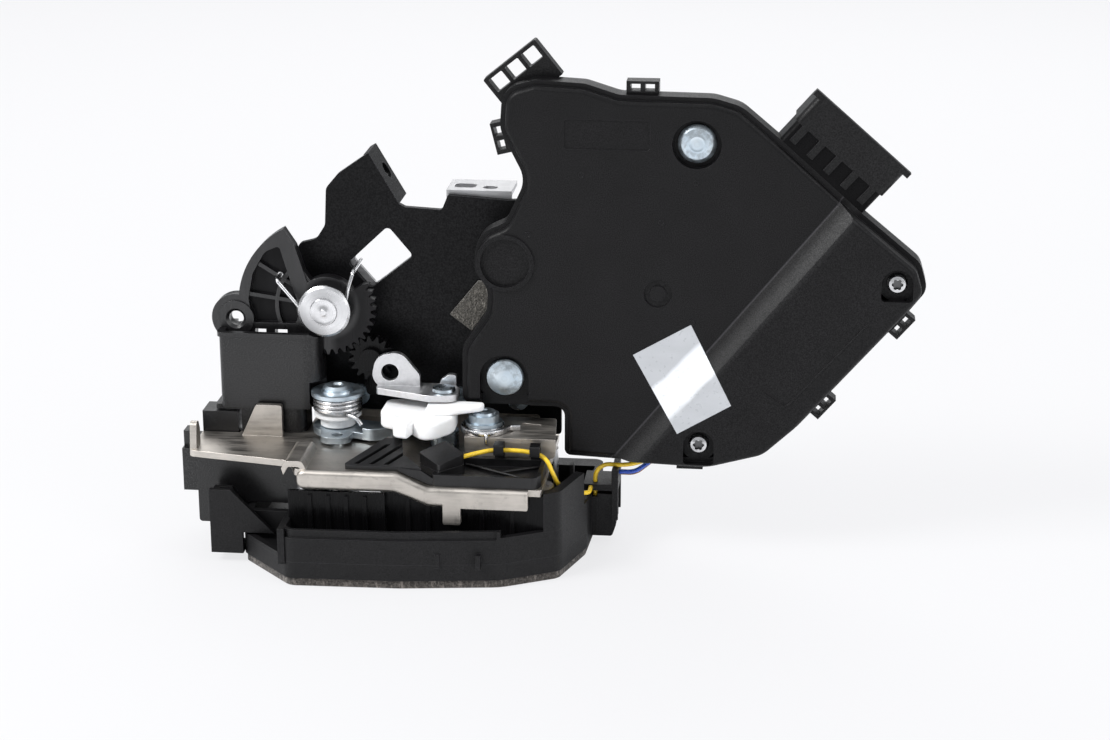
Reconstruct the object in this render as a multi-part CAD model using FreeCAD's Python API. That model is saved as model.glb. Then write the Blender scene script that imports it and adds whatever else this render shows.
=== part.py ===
"""Door latch actuator: a side latch with its lever bracket and its motor housing.

Millimetres, +Z up. The origin lies on the outer face of the steel face plate, beside the
striker mouth. The latch face looks down (-Z), the actuator cover looks forward (-Y), and
the striker enters from the back (+Y).
"""
import FreeCAD, Part
import math
import os

V = FreeCAD.Vector

# Latch face, casing and latch plate
FACE_T = 3.0              # steel face plate
FLOOR_T = 2.0             # casing floor on the face plate
FOAM_T = 2.5              # foam seal below the casing rim
CASE_WALL = 2.0           # casing wall
CASE_H = 15.0             # casing front wall above the latch face
RIM_W = 4.5               # casing rim beside the face plate
PLATE_Z = 30.0            # top of the latch plate, left part
PLATE_T = 2.0             # latch plate sheet
PLATE_DROP = 4.0          # step down of the right part
FLANGE_H = 6.0            # rolled front flange
SIDE_Z = 12.6             # casing wall below the side housing
HOLDER_X = 56.2           # seat of the harness holder on the casing
PLATE_FRONT = -28.7       # front edge of the latch plate
PLATE_BACK = 24.0         # back edge of the latch plate
BACK_FLANGE_H = 12.0      # upturned back flange
ROLL_R = 1.5              # roll of the front flange
SCREEN_Y = -28.8          # inner screen behind the casing front, left part
SCREEN_T = 1.3
RIM_STEP = 0.7            # rebate along the casing's front rim
CASE_BACK = 31.0          # back edge of the casing and the face plate
MOUTH_X = -6.0            # striker mouth centre line
MOUTH_W = 14.0            # striker mouth width
MOUTH_END = -1.5          # inner end of the mouth

# Claw and pawl
RUN_GAP = 0.4             # axial running gap of the moving latch pieces
PIN_FIT = 0.05            # radial running clearance on the pins
CLAW_X = -24.0
CLAW_Y = 5.0
CLAW_T = 6.0              # claw thickness
CLAW_R = 22.0             # claw cam radius
CLAW_PIN_R = 4.0
THROAT_W = 12.0           # throat of the claw
THROAT_IN = 12.0          # throat bottom from the claw pin
CLAW_OPEN = 55.0          # claw turn from latched to open
PAWL_X = 22.0
PAWL_Y = -1.0
PAWL_T = 5.0
PAWL_PIN_R = 3.5
PAWL_RIDE = 0.35          # pawl tooth off the cam at rest
SPRING_WIRE = 1.4         # claw and pawl spring wire
PAWL_STEP = -69.0         # direction of the claw's latching step, latched
STEP_DEPTH = 5.0          # depth of the latching step
CLAW_HUB_R = 9.5
PAWL_HUB_R = 7.0

# Screw bushes in the latch face
BUSH_R = 5.0
THREAD_R = 2.5            # core radius of the screw thread
THREAD_L = 14.0           # thread depth
BUSH_PLACES = [(-26.5, -22.2), (40.0, -18.0), (38.0, 15.0)]

# Bracket, standing behind the latch plate's back flange
BRACKET_Y = 20.0          # front face of the bracket
BRACKET_T = 2.0
TAB_FLANGE = 12.0         # folded tab flange, to the back
SLOT_FLANGE = 14.0        # slotted flange, to the back
ZINC_T = 1.5              # zinc angle sheet
RIVET_XS = (-20.0, 12.0, 30.0)
RIVET_ROW = 38.0          # row of the bracket rivets
BRACKET_RIVET_R = 2.0
WINDOW = [(-9.9, 92.2, 1.5), (-2.2, 83.0, 1.5), (-15.7, 72.3, 1.5), (-22.6, 80.2, 1.5)]
TAB_FOLD = ((-15.5, 114.9), (-6.3, 99.2))

# Outside lever and its spring
LEVER_X = -27.3
LEVER_Z = 69.1
LEVER_Y = 9.0             # front face of the lever
LEVER_T = 4.0
LEVER_WEB = 1.8           # thin web between the lever's ribs
LEVER_HOLE_R = 2.25
LEVER_PIN_R = 3.0
CUP_R = 8.1               # bright spring cup
CUP_Y = 5.0               # back of the spring cup
LEVER_R = 27.4            # outer arc of the lever
LEVER_SPRING_R = 5.6
LEVER_SPRING_WIRE = 1.3
CABLE_PLACE = (-55.6, 64.8)
CABLE_BOSS_R = 7.6
SPRING_HOLE = (-42.0, 78.2)
SPRING_HOLE_R = 1.0
GEAR_M = 0.8              # gear module of every gear
SECTOR_TEETH = 36
PINION_TEETH = 16
PINION_DIR = -50.0        # direction from the lever pin to the pinion pin
PINION_T = 3.0
PINION_PIN_R = 2.0

# Actuator cover and housing
COVER_Y = 0.0             # face of the cover's upper left part
COVER_STEP = 5.0          # the lower right part stands this much further forward
COVER_WALL = 2.0
PART_Y = 8.0              # joint of cover and housing
HOUSE_RIM = 1.6           # rim of the housing behind the cover
HOUSE_INSET = 4.2         # housing body inside its rim
RIVET_R = 5.7             # rivet head
RIVET_HEAD = 2.0
RIVET_SHANK_R = 3.0
SEAT = 3.0                # seats of rivets and screws below the face
RIVET_A = (84.8, 124.1)
RIVET_B = (28.1, 50.9)
SCREW_R = 3.0             # screw head
SCREW_SHANK_R = 1.3
SCREW_A = (143.9, 85.0)
SCREW_B = (87.1, 33.5)
SOCKET_W = 32.8           # connector shroud, across
SOCKET_D = 14.0           # connector shroud, front to back
SOCKET_L = 18.6           # connector shroud, length
SOCKET_WALL = 1.8
DIAG = -41.0              # slope of the cover's diagonal edge, degrees
SOCKET_Y = 9.5            # middle of the socket, front to back
SOCKET_PLACE = (120.6, 114.6)
SOCKET_FALL = 3.4         # the back wall of the shroud is this much lower
STRIP_TOP = [(126.0, 107.4), (61.0, 27.0)]
STRIP_W = 5.6             # width of the sloping strip
FACE_INSET = 1.5          # ledge round the cover's face
FACE_ROUND = 1.4          # round of the face's edge
DISC_PLACE = (28.6, 87.1) # round raised disc
DISC_R = 7.4
RING_PLACE = (74.1, 79.0) # small sunk ring
LABEL_T = 0.15
SNAPS = ((68.6, 138.2, 0.0, 9.5), (28.2, 124.2, -104.0, 9.5), (144.8, 71.0, 130.4, 8.0),
         (122.4, 45.2, 130.4, 8.0))
SNAP_OUT = 3.4            # snap frame off the cover's rim
SNAP_WINDOW = (0.4, 2.6)  # window in the snap frame
COVER_OUTLINE = [(37.3, 141.8, 6), (52.0, 141.0, 8), (62.0, 137.9, 8), (89.4, 137.5, 12), (97.5, 135.2, 10),
                 (108.7, 125.9), (132.7, 104.7), (150.6, 90.0, 6), (153.0, 82.0, 5), (148.0, 75.5, 4),
                 (116.5, 38.5, 8), (107.0, 29.6, 10), (90.0, 24.9, 20), (68.6, 25.6, 8), (46.2, 26.6, 2),
                 (46.2, 42.0, 3), (15.1, 42.0, 3), (15.2, 60.2, 8), (22.6, 71.0, 6), (23.2, 78.0, 6),
                 (19.0, 84.0, 6), (20.0, 95.0, 8), (28.4, 98.9, 4), (34.6, 112.0, 8),
                 (27.0, 127.0, 8), (27.8, 139.0, 8)]

# Motor and gears in the housing
MOTOR_Y = 8.0
WHEEL_TEETH = 40
WORM_R = 3.0              # pitch radius of the worm
WORM_SHAFT_R = 1.0
WORM_L = 12.0
WORM_OFF = 28.5           # worm's middle from the motor's middle
WHEEL_PIN_R = 2.0
WHEEL_HAND = 1.0          # lean of the wheel's teeth
RUN_ANGLE = 51.8          # direction of the motor shaft, from +X towards +Z
MOTOR_MID = (121.2, 70.1)
MOTOR_L = 25.0
MOTOR_R = 10.0

# Levers on the back of the latch
STUD_X = 9.5
STUD_Y = 1.6
STUD_R = 2.6
SHEET_T = 2.0             # lever sheet
EAR_HOLE_R = 2.7
CAP_R = 8.0               # spring cap on the left pin
COIL_WIRE = 1.6
COIL_R = 6.4
EAR_HOLE = (-7.6, 50.2)
PLATFORM_Z = 35.0         # top of the spring platform
PLATFORM_FRONT = -8.0
WIRE_R = 0.675            # harness wire
CARRIER_WALL = 1.3
SWITCH_CORNERS = [(11.9, -26.6, 0.6), (18.6, -19.4, 0.6), (11.9, -12.6, 0.6), (5.0, -19.6, 0.6)]
PLUNGER_PLACE = (8.45, -16.1)
PLUNGER_R = 1.0
SHROUD_TOP = 62.0         # rim of the guide shroud

# Harness: places from the top of the casing
YELLOW_FOOT = (55.4, 5.0)
GLAND = (80.0, 88.0, 21.2, 31.0)
COMB_Z = CASE_H + 0.4
LEADS = {"blue_wire": (7.2, 5.0, 15.2, 23.6), "black_wire": (9.4, 4.0, 17.0, 23.1),
         "brown_wire": (11.6, 3.0, 18.8, 22.6)}

# Places worked out from the sizes
LOW_Z = PLATE_Z - PLATE_DROP
BUSH_TOP = PLATE_Z + 7.2
LEFT_TOP = PLATE_Z + 14.4
RIGHT_TOP = PLATFORM_Z + 5.2
SWITCH_Z = LOW_Z + 2.2
SWITCH_RUN = math.degrees(math.atan2(-6.9, 7.0))


def at(plane, a, b, depth):
    """Point from two in-plane coordinates and the depth across the plane."""
    if plane == "xy":
        return V(a, b, depth)
    if plane == "xz":
        return V(a, depth, b)
    return V(depth, a, b)


def across(plane, length):
    """Vector of a length across the plane."""
    return at(plane, 0.0, 0.0, length)


def outline(points, plane, depth):
    """Closed wire through corner points (a, b, radius), round corners as arcs."""
    count = len(points)
    corners = []
    for i in range(count):
        a, b = points[i][0], points[i][1]
        radius = points[i][2] if len(points[i]) > 2 else 0.0
        before = points[i - 1]
        after = points[(i + 1) % count]
        corner = V(a, b, 0)
        back = V(before[0], before[1], 0) - corner
        ahead = V(after[0], after[1], 0) - corner
        turn = back.getAngle(ahead)
        if radius <= 0 or turn > math.pi - 0.01:
            corners.append((corner, None, corner))
            continue
        reach = radius / math.tan(turn / 2)
        reach = min(reach, 0.49 * back.Length, 0.49 * ahead.Length)
        radius = reach * math.tan(turn / 2)
        back.normalize()
        ahead.normalize()
        middle = back + ahead
        middle.normalize()
        tip = corner + middle * (radius / math.sin(turn / 2) - radius)
        corners.append((corner + back * reach, tip, corner + ahead * reach))
    edges = []
    for i in range(count):
        start, tip, end = corners[i]
        p0 = at(plane, start.x, start.y, depth)
        p1 = at(plane, end.x, end.y, depth)
        if tip is not None:
            edges.append(Part.Arc(p0, at(plane, tip.x, tip.y, depth), p1).toShape())
        nxt = corners[(i + 1) % count][0]
        p2 = at(plane, nxt.x, nxt.y, depth)
        if p1.distanceToPoint(p2) > 1e-6:
            edges.append(Part.LineSegment(p1, p2).toShape())
    return Part.Wire(edges)


def prism(points, plane, low, high):
    """Outline carried straight across its plane."""
    return Part.Face(outline(points, plane, low)).extrude(across(plane, high - low))


def round_bar(plane, centre, radius, low, high):
    """Round bar across a plane."""
    start = at(plane, centre[0], centre[1], low)
    return Part.makeCylinder(radius, high - low, start, across(plane, 1.0))


def tube(plane, centre, outer, inner, low, high):
    """Round tube across a plane."""
    bore = round_bar(plane, centre, inner, low - 1, high + 1)
    return round_bar(plane, centre, outer, low, high).cut(bore)


def block(a, b):
    """Straight block between two corners."""
    return Part.makeBox(b[0] - a[0], b[1] - a[1], b[2] - a[2], V(*a))


def join(shapes):
    """One solid from touching solids."""
    body = shapes[0].multiFuse(shapes[1:]) if len(shapes) > 1 else shapes[0]
    return body.removeSplitter()


def turned(profile, plane, centre):
    """Ring from a profile of (radius, depth) points, turned about a centre."""
    points = [at("xz", r, d, 0.0) for r, d in profile]
    face = Part.Face(Part.makePolygon(points + [points[0]]))
    solid = face.revolve(V(0, 0, 0), V(0, 0, 1), 360)
    if plane == "xz":
        solid.rotate(V(0, 0, 0), V(1, 0, 0), -90)
    solid.translate(at(plane, centre[0], centre[1], 0.0))
    return solid


def coil(plane, centre, radius, wire, low, turns):
    """Close-wound spring body: wire rings side by side, seen as one wound sleeve."""
    rings = []
    for i in range(turns):
        depth = low + wire / 2 + i * wire * 0.98
        ring = Part.makeTorus(radius, wire / 2, at(plane, centre[0], centre[1], depth), across(plane, 1.0))
        rings.append(ring)
    sleeve = tube(plane, centre, radius + 0.2 * wire, radius - 0.2 * wire,
                  low + wire / 2, low + wire / 2 + (turns - 1) * wire * 0.98)
    return join(rings + [sleeve])


def rod(points, radius):
    """Bent wire: straight runs joined by tangent arcs, radius 0.45 of the shorter run."""
    points = [V(*p) for p in points]
    edges = []
    bends = []
    last = points[0]
    for i in range(1, len(points) - 1):
        back = points[i - 1] - points[i]
        ahead = points[i + 1] - points[i]
        turn = math.pi - back.getAngle(ahead)
        reach = 0.45 * min(back.Length, ahead.Length)
        bend = reach / math.tan(turn / 2)
        bends.append(bend)
        back.normalize()
        ahead.normalize()
        middle = back + ahead
        middle.normalize()
        start = points[i] + back * reach
        end = points[i] + ahead * reach
        tip = points[i] + middle * (bend / math.cos(turn / 2) - bend)
        edges.append(Part.LineSegment(last, start).toShape())
        edges.append(Part.Arc(start, tip, end).toShape())
        last = end
    edges.append(Part.LineSegment(last, points[-1]).toShape())
    path = Part.Wire(edges)
    first = edges[0]
    normal = first.tangentAt(first.FirstParameter)
    circle = Part.Wire(Part.makeCircle(radius, points[0], normal))
    solid = path.makePipeShell([circle], True, True)
    return solid, path.Length, bends


def gear_outline(centre, teeth, plane, depth, phase, first=0, last=None, spin=0.0):
    """Straight-flanked teeth about a centre; teeth outside first..last are left off."""
    last = teeth - 1 if last is None else last
    pitch_r = GEAR_M * teeth / 2
    tip_r = pitch_r + 0.85 * GEAR_M
    root_r = pitch_r - 1.15 * GEAR_M
    flank = math.tan(math.radians(20))
    half = 0.41 * math.pi * GEAR_M / 2
    half_tip = (half - 0.85 * GEAR_M * flank) / tip_r
    half_root = (half + 1.15 * GEAR_M * flank) / root_r
    corners = []
    for i in range(teeth):
        middle = math.radians(phase + spin) + 2 * math.pi * i / teeth
        if i < first or i > last:
            corners.append((root_r, middle))
            continue
        corners.append((root_r, middle - half_root))
        corners.append((tip_r, middle - half_tip))
        corners.append((tip_r, middle + half_tip))
        corners.append((root_r, middle + half_root))
    points = [(centre[0] + r * math.cos(t), centre[1] + r * math.sin(t)) for r, t in corners]
    return outline(points, plane, depth)


def gear(centre, teeth, plane, low, high, phase, first=0, last=None):
    """Flat toothed disc."""
    face = Part.Face(gear_outline(centre, teeth, plane, low, phase, first, last))
    return face.extrude(across(plane, high - low))


def polar(centre, radius, degrees):
    """Point at a radius and a direction from a centre."""
    turn = math.radians(degrees)
    return (centre[0] + radius * math.cos(turn), centre[1] + radius * math.sin(turn))


PINION = polar((LEVER_X, LEVER_Z), GEAR_M * (SECTOR_TEETH + PINION_TEETH) / 2, PINION_DIR)
WORM_MID = polar(MOTOR_MID, -WORM_OFF, RUN_ANGLE)
WHEEL_PLACE = polar(WORM_MID, GEAR_M * WHEEL_TEETH / 2 + WORM_R, RUN_ANGLE + 90)


# Latch casing, face plate and foam

CASE_OUTLINE = [(-48.6, -20.8, 3), (-31.5, -39.2, 5), (1.6, -38.4, 20), (31.0, -34.5, 15),
                (47.6, -25.5, 5), (54.0, -6.0, 8), (56.0, CASE_BACK, 3), (-48.6, CASE_BACK, 3)]


def inset(points, plane, depth, distance):
    """Outline moved inwards by a distance."""
    return outline(points, plane, depth).makeOffset2D(-distance)


def inner_prism(points, plane, low, high, distance):
    """Prism of an outline moved inwards."""
    return Part.Face(inset(points, plane, low, distance)).extrude(across(plane, high - low))


def mouth(low, high):
    """Striker mouth: a slot with a round end, open at the back edge."""
    half = MOUTH_W / 2
    return prism([(MOUTH_X - half, MOUTH_END, half * 0.98), (MOUTH_X + half, MOUTH_END, half * 0.98),
                  (MOUTH_X + half, CASE_BACK + 5), (MOUTH_X - half, CASE_BACK + 5)], "xy", low, high)


def round_mouth(shape, side):
    """Section of a plate round the mouth: in front of it, on its left or on its right."""
    far = 90
    sections = {"front": block((-far, -far, -far), (far, MOUTH_END, far)),
                "left": block((-far, MOUTH_END, -far), (MOUTH_X, far, far)),
                "right": block((MOUTH_X, MOUTH_END, -far), (far, far, far))}
    return shape.common(sections[side])


def whole_plate():
    plate = inner_prism(CASE_OUTLINE, "xy", 0.0, FACE_T, RIM_W)
    plate = plate.fuse(block((MOUTH_X - 22, 10, 0), (MOUTH_X + 26, CASE_BACK, FACE_T)))
    cutters = [mouth(-1, FACE_T + 1)]
    for place in BUSH_PLACES:
        cutters.append(round_bar("xy", place, BUSH_R - 1.5, -1, FACE_T + 1))
    cutters.append(round_bar("xy", (CLAW_X, CLAW_Y), CLAW_PIN_R - 1, -1, FACE_T + 1))
    cutters.append(round_bar("xy", (PAWL_X, PAWL_Y), PAWL_PIN_R - 1, -1, FACE_T + 1))
    return plate.removeSplitter().cut(cutters)


def face_plate():
    return round_mouth(whole_plate(), "front")


def face_plate_left():
    return round_mouth(whole_plate(), "left")


def face_plate_right():
    return round_mouth(whole_plate(), "right")


def casing_screen():
    """Wall behind the casing front, stepped forward on the left, with upright ribs."""
    low = FACE_T + FLOOR_T
    left_top = PLATE_Z - FLANGE_H - RUN_GAP
    right_top = LOW_Z - PLATE_T - RUN_GAP
    walls = [block((-33.0, SCREEN_Y, low), (-4.0, SCREEN_Y + SCREEN_T, left_top)),
             block((-5.4, SCREEN_Y, low), (-4.0, -25.0, right_top)),
             block((-5.4, -26.4, low), (45.0, -25.0, right_top))]
    for x in (-27.0, -21.5, -16.0, -10.5):
        walls.append(block((x, SCREEN_Y - 0.8, low), (x + 1.2, SCREEN_Y + 0.5, left_top - 1)))
    for x in (2.0, 8.0, 24.0, 33.0):
        walls.append(block((x, -27.1, low), (x + 1.2, -26.0, right_top - 1)))
    return join(walls).cut(latch_casing())


def rim_rebate():
    """Step taken out of the outer edge of the casing's front rim."""
    ring = prism(CASE_OUTLINE, "xy", CASE_H - 2.4, CASE_H + 1)
    ring = ring.cut(inner_prism(CASE_OUTLINE, "xy", CASE_H - 3, CASE_H + 2, RIM_STEP))
    return ring.common(block((-33.5, -45.0, CASE_H - 3), (30.0, -30.0, CASE_H + 1)))


def whole_casing():
    """Moulded casing: floor, front wall with its post, ribs and guides."""
    floor_z = FACE_T + FLOOR_T
    body = prism(CASE_OUTLINE, "xy", 0.0, CASE_H)
    post = prism([(43.0, -28.1), (47.6, -25.5, 4), (53.2, -8.5), (50.6, -7.6), (45.4, -23.2, 2), (43, -24.6)],
                 "xy", CASE_H - 2, CASE_H + 10)
    strut = block((47.6, 4.0, CASE_H - 2), (48.8, 7.0, CASE_H + 7.6))
    body = body.fuse(post)
    body = body.cut(inner_prism(CASE_OUTLINE, "xy", floor_z, CASE_H + 1, CASE_WALL))
    plate_bed = inner_prism(CASE_OUTLINE, "xy", -1, FACE_T, RIM_W)
    plate_bed = plate_bed.fuse(block((MOUTH_X - 22, 10, -1), (MOUTH_X + 26, CASE_BACK + 1, FACE_T)))
    body = body.cut(plate_bed)
    body = body.cut(mouth(-1, floor_z + 1))
    half = MOUTH_W / 2 + 1
    body = body.cut(block((MOUTH_X - half, CASE_BACK - 4, -1), (MOUTH_X + half, CASE_BACK + 4, CASE_H + 5)))
    low_side = block((-52, -45, floor_z + 1.5), (-33.0, -16.0, CASE_H + 6))
    low_front = block((31, -45, CASE_H - 1.8), (43.0, -24, CASE_H + 2))
    low_left = block((-52, -20, SIDE_Z), (-33.0, CASE_BACK + 1, CASE_H + 6))
    body = body.cut([low_side, low_front, low_left, rim_rebate()])
    wall = block((-48.0, -18.0, floor_z - 1), (-33.0, -16.0, SIDE_Z))
    cheek = block((-34.5, -38.5, floor_z - 1), (-32.5, -16.0, CASE_H))
    ribs = [block((x, -37.4, floor_z - 1), (x + 1.4, -33.0, floor_z + 3.5)) for x in (-12.0, 0.0, 12.0, 24.0)]
    guide_l = block((MOUTH_X - half - 2, 28.2, floor_z - 1), (MOUTH_X - half, CASE_BACK, CASE_H))
    guide_r = block((MOUTH_X + half, 14.0, floor_z - 1), (MOUTH_X + half + 2, CASE_BACK, CASE_H))
    deck_l = block((-46.0, PLATE_BACK + 0.5, SIDE_Z - 0.9), (MOUTH_X - half, CASE_BACK - 0.5, SIDE_Z))
    deck_r = block((MOUTH_X + half, PLATE_BACK + 0.5, CASE_H - 1.8), (54.0, CASE_BACK - 0.5, CASE_H))
    pad = block((52.5, 3.0, 0.3), (HOLDER_X, 13.0, CASE_H - 2.0))
    shelf = block((46.0, 4.0, CASE_H - 2.0), (54.0, 12.0, CASE_H - 0.6))
    body = join([body, wall, cheek, guide_l, guide_r, deck_l, deck_r, pad, shelf, strut] + ribs)
    holes = [round_bar("xy", place, BUSH_R, -1, CASE_H) for place in BUSH_PLACES]
    holes.append(round_bar("xy", (CLAW_X, CLAW_Y), CLAW_PIN_R + 0.8, -1, CASE_H))
    holes.append(round_bar("xy", (PAWL_X, PAWL_Y), PAWL_PIN_R + 0.8, -1, CASE_H))
    return body.cut(holes)


def latch_casing():
    """Walls of the casing above its floor."""
    far = 90
    return whole_casing().common(block((-far, -far, FACE_T + FLOOR_T), (far, far, far)))


def floor_section(side):
    """Floor and rim of the casing on one side of the mouth."""
    far = 90
    return round_mouth(whole_casing().common(block((-far, -far, -far), (far, far, FACE_T + FLOOR_T))), side)


def casing_floor():
    return floor_section("front")


def casing_floor_left():
    return floor_section("left")


def casing_floor_right():
    return floor_section("right")


def entry_wing():
    """Left wing of the casing: two sloping walls joined by an end wall."""
    front = prism([(-58.5, 0.3), (-48.7, 0.3), (-48.7, 7.1), (-39.0, 7.1), (-52.0, 20.5), (-58.5, 20.5)],
                  "xz", -22.6, -20.9)
    back = prism([(-58.5, 5.3), (-48.8, 5.3), (-48.8, 10.5), (-53.0, 19.0), (-58.5, 19.0)],
                 "xz", -16.0, -14.4)
    end = block((-58.5, -22.6, 0.3), (-56.8, -14.4, 19.0))
    floor = block((-58.5, -22.6, 0.3), (-48.7, -14.4, 2.0))
    return join([front, back, end, floor])


def foam_seal():
    ring = inner_prism(CASE_OUTLINE, "xy", -FOAM_T, 0.0, 0.6)
    ring = ring.cut(inner_prism(CASE_OUTLINE, "xy", -FOAM_T - 1, 1, RIM_W))
    return ring.cut(block((MOUTH_X - 22, 10, -FOAM_T - 1), (MOUTH_X + 26, CASE_BACK + 1, 1)))


def threaded_bushes():
    bushes = []
    for x, y in BUSH_PLACES:
        top = PLATE_Z - PLATE_T - (PLATE_DROP if x > 5 else 0.0)
        body = round_bar("xy", (x, y), BUSH_R, FACE_T, top)
        neck = round_bar("xy", (x, y), BUSH_R - 1.5, 0.0, FACE_T)
        bushes.append(join([body, neck]).cut(round_bar("xy", (x, y), THREAD_R, -1, THREAD_L)))
    return Part.makeCompound(bushes)


# Claw and pawl

def claw():
    """Forked claw, drawn latched and turned to its open place."""
    z0 = FACE_T + FLOOR_T + RUN_GAP
    z1 = z0 + CLAW_T
    hub = (CLAW_X, CLAW_Y)
    cam = round_bar("xy", hub, CLAW_R, z0, z1)
    keep = [(CLAW_X, CLAW_Y)]
    for degrees in (PAWL_STEP - 70, PAWL_STEP - 35, PAWL_STEP, -45, 0, 30, 62):
        keep.append(polar(hub, CLAW_R * 1.5, degrees))
    body = cam.common(prism(keep, "xy", z0, z1))
    body = body.fuse(round_bar("xy", hub, CLAW_HUB_R, z0, z1))
    half = THROAT_W / 2
    x0 = CLAW_X + THROAT_IN
    throat = prism([(x0, CLAW_Y - half, half * 0.98), (x0 + 40, CLAW_Y - half), (x0 + 40, CLAW_Y + half),
                    (x0, CLAW_Y + half, half * 0.98)], "xy", z0 - 1, z1 + 1)
    step = [polar(hub, CLAW_R - STEP_DEPTH, PAWL_STEP), polar(hub, CLAW_R + 9, PAWL_STEP)]
    step += [polar(hub, CLAW_R + 9, -40), polar(hub, CLAW_R - STEP_DEPTH + 0.5, -30)]
    step += [polar(hub, CLAW_R - STEP_DEPTH + 0.5, -50)]
    body = body.cut([throat, prism(step, "xy", z0 - 1, z1 + 1)])
    body = body.cut(round_bar("xy", hub, CLAW_PIN_R + PIN_FIT, z0 - 1, z1 + 1))
    body.rotate(V(CLAW_X, CLAW_Y, 0), V(0, 0, 1), CLAW_OPEN)
    return body.removeSplitter()


def claw_pin():
    pin = round_bar("xy", (CLAW_X, CLAW_Y), CLAW_PIN_R, FACE_T, PLATE_Z - PLATE_T)
    foot = round_bar("xy", (CLAW_X, CLAW_Y), CLAW_PIN_R - 1, 0.0, FACE_T)
    shank = round_bar("xy", (CLAW_X, CLAW_Y), 3.0, PLATE_Z - PLATE_T, LEFT_TOP)
    head = turned([(0, LEFT_TOP), (4.4, LEFT_TOP), (4.4, LEFT_TOP + 0.6), (3.4, LEFT_TOP + 1.4),
                   (2.0, LEFT_TOP + 1.4), (1.4, LEFT_TOP + 0.8), (0, LEFT_TOP + 0.8)],
                  "xy", (CLAW_X, CLAW_Y))
    return join([pin, foot, shank, head])


def claw_spring():
    z0 = FACE_T + FLOOR_T + 2 * RUN_GAP + CLAW_T
    body = coil("xy", (CLAW_X, CLAW_Y), CLAW_PIN_R + SPRING_WIRE, SPRING_WIRE, z0, 4)
    y = CLAW_Y + CLAW_PIN_R + SPRING_WIRE
    top = z0 + SPRING_WIRE * 0.5 + 3 * SPRING_WIRE * 0.98
    leg = round_bar("yz", (y, top), SPRING_WIRE / 2, CLAW_X - 9, CLAW_X)
    return join([body, leg])


def pawl():
    z0 = FACE_T + FLOOR_T + RUN_GAP
    hub = (PAWL_X, PAWL_Y)
    reach = CLAW_R + PAWL_RIDE
    tip = polar((CLAW_X, CLAW_Y), reach, PAWL_STEP)
    heel = polar((CLAW_X, CLAW_Y), reach + 0.5, PAWL_STEP + 16)
    low = polar((CLAW_X, CLAW_Y), reach + 5.5, PAWL_STEP + 1)
    arm = prism([tip, heel, (PAWL_X - 12, PAWL_Y - 2.6, 6), (PAWL_X - 2, PAWL_Y + 6.5, 2),
                 (PAWL_X + 6, PAWL_Y - 4, 3), (PAWL_X - 4, PAWL_Y - 8.5, 4), low], "xy", z0, z0 + PAWL_T)
    tail = prism([(PAWL_X, PAWL_Y - 5), (PAWL_X + 15, PAWL_Y - 5, 3), (PAWL_X + 15, PAWL_Y + 2, 3),
                  (PAWL_X, PAWL_Y + 5)], "xy", z0, z0 + PAWL_T)
    body = join([arm, round_bar("xy", hub, PAWL_HUB_R, z0, z0 + PAWL_T), tail])
    return body.cut(round_bar("xy", hub, PAWL_PIN_R + PIN_FIT, z0 - 1, z0 + PAWL_T + 1))


def pawl_pin():
    place = (PAWL_X, PAWL_Y)
    under = PLATE_Z - PLATE_T - PLATE_DROP
    pin = round_bar("xy", place, PAWL_PIN_R, FACE_T, under)
    foot = round_bar("xy", place, PAWL_PIN_R - 1, 0.0, FACE_T)
    shank = round_bar("xy", place, 2.5, under, RIGHT_TOP)
    head = turned([(0, RIGHT_TOP), (3.6, RIGHT_TOP), (3.4, RIGHT_TOP + 0.7), (1.6, RIGHT_TOP + 0.9),
                   (1.1, RIGHT_TOP + 0.5), (0, RIGHT_TOP + 0.5)], "xy", place)
    return join([pin, foot, shank, head])


def pawl_spring():
    z0 = FACE_T + FLOOR_T + 2 * RUN_GAP + PAWL_T
    body = coil("xy", (PAWL_X, PAWL_Y), PAWL_PIN_R + SPRING_WIRE, SPRING_WIRE, z0, 4)
    y = PAWL_Y + PAWL_PIN_R + SPRING_WIRE
    top = z0 + SPRING_WIRE * 0.5 + 3 * SPRING_WIRE * 0.98
    leg = round_bar("yz", (y, top), SPRING_WIRE / 2, PAWL_X, PAWL_X + 20)
    return join([body, leg])


# Latch plate and the left side housing

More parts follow.
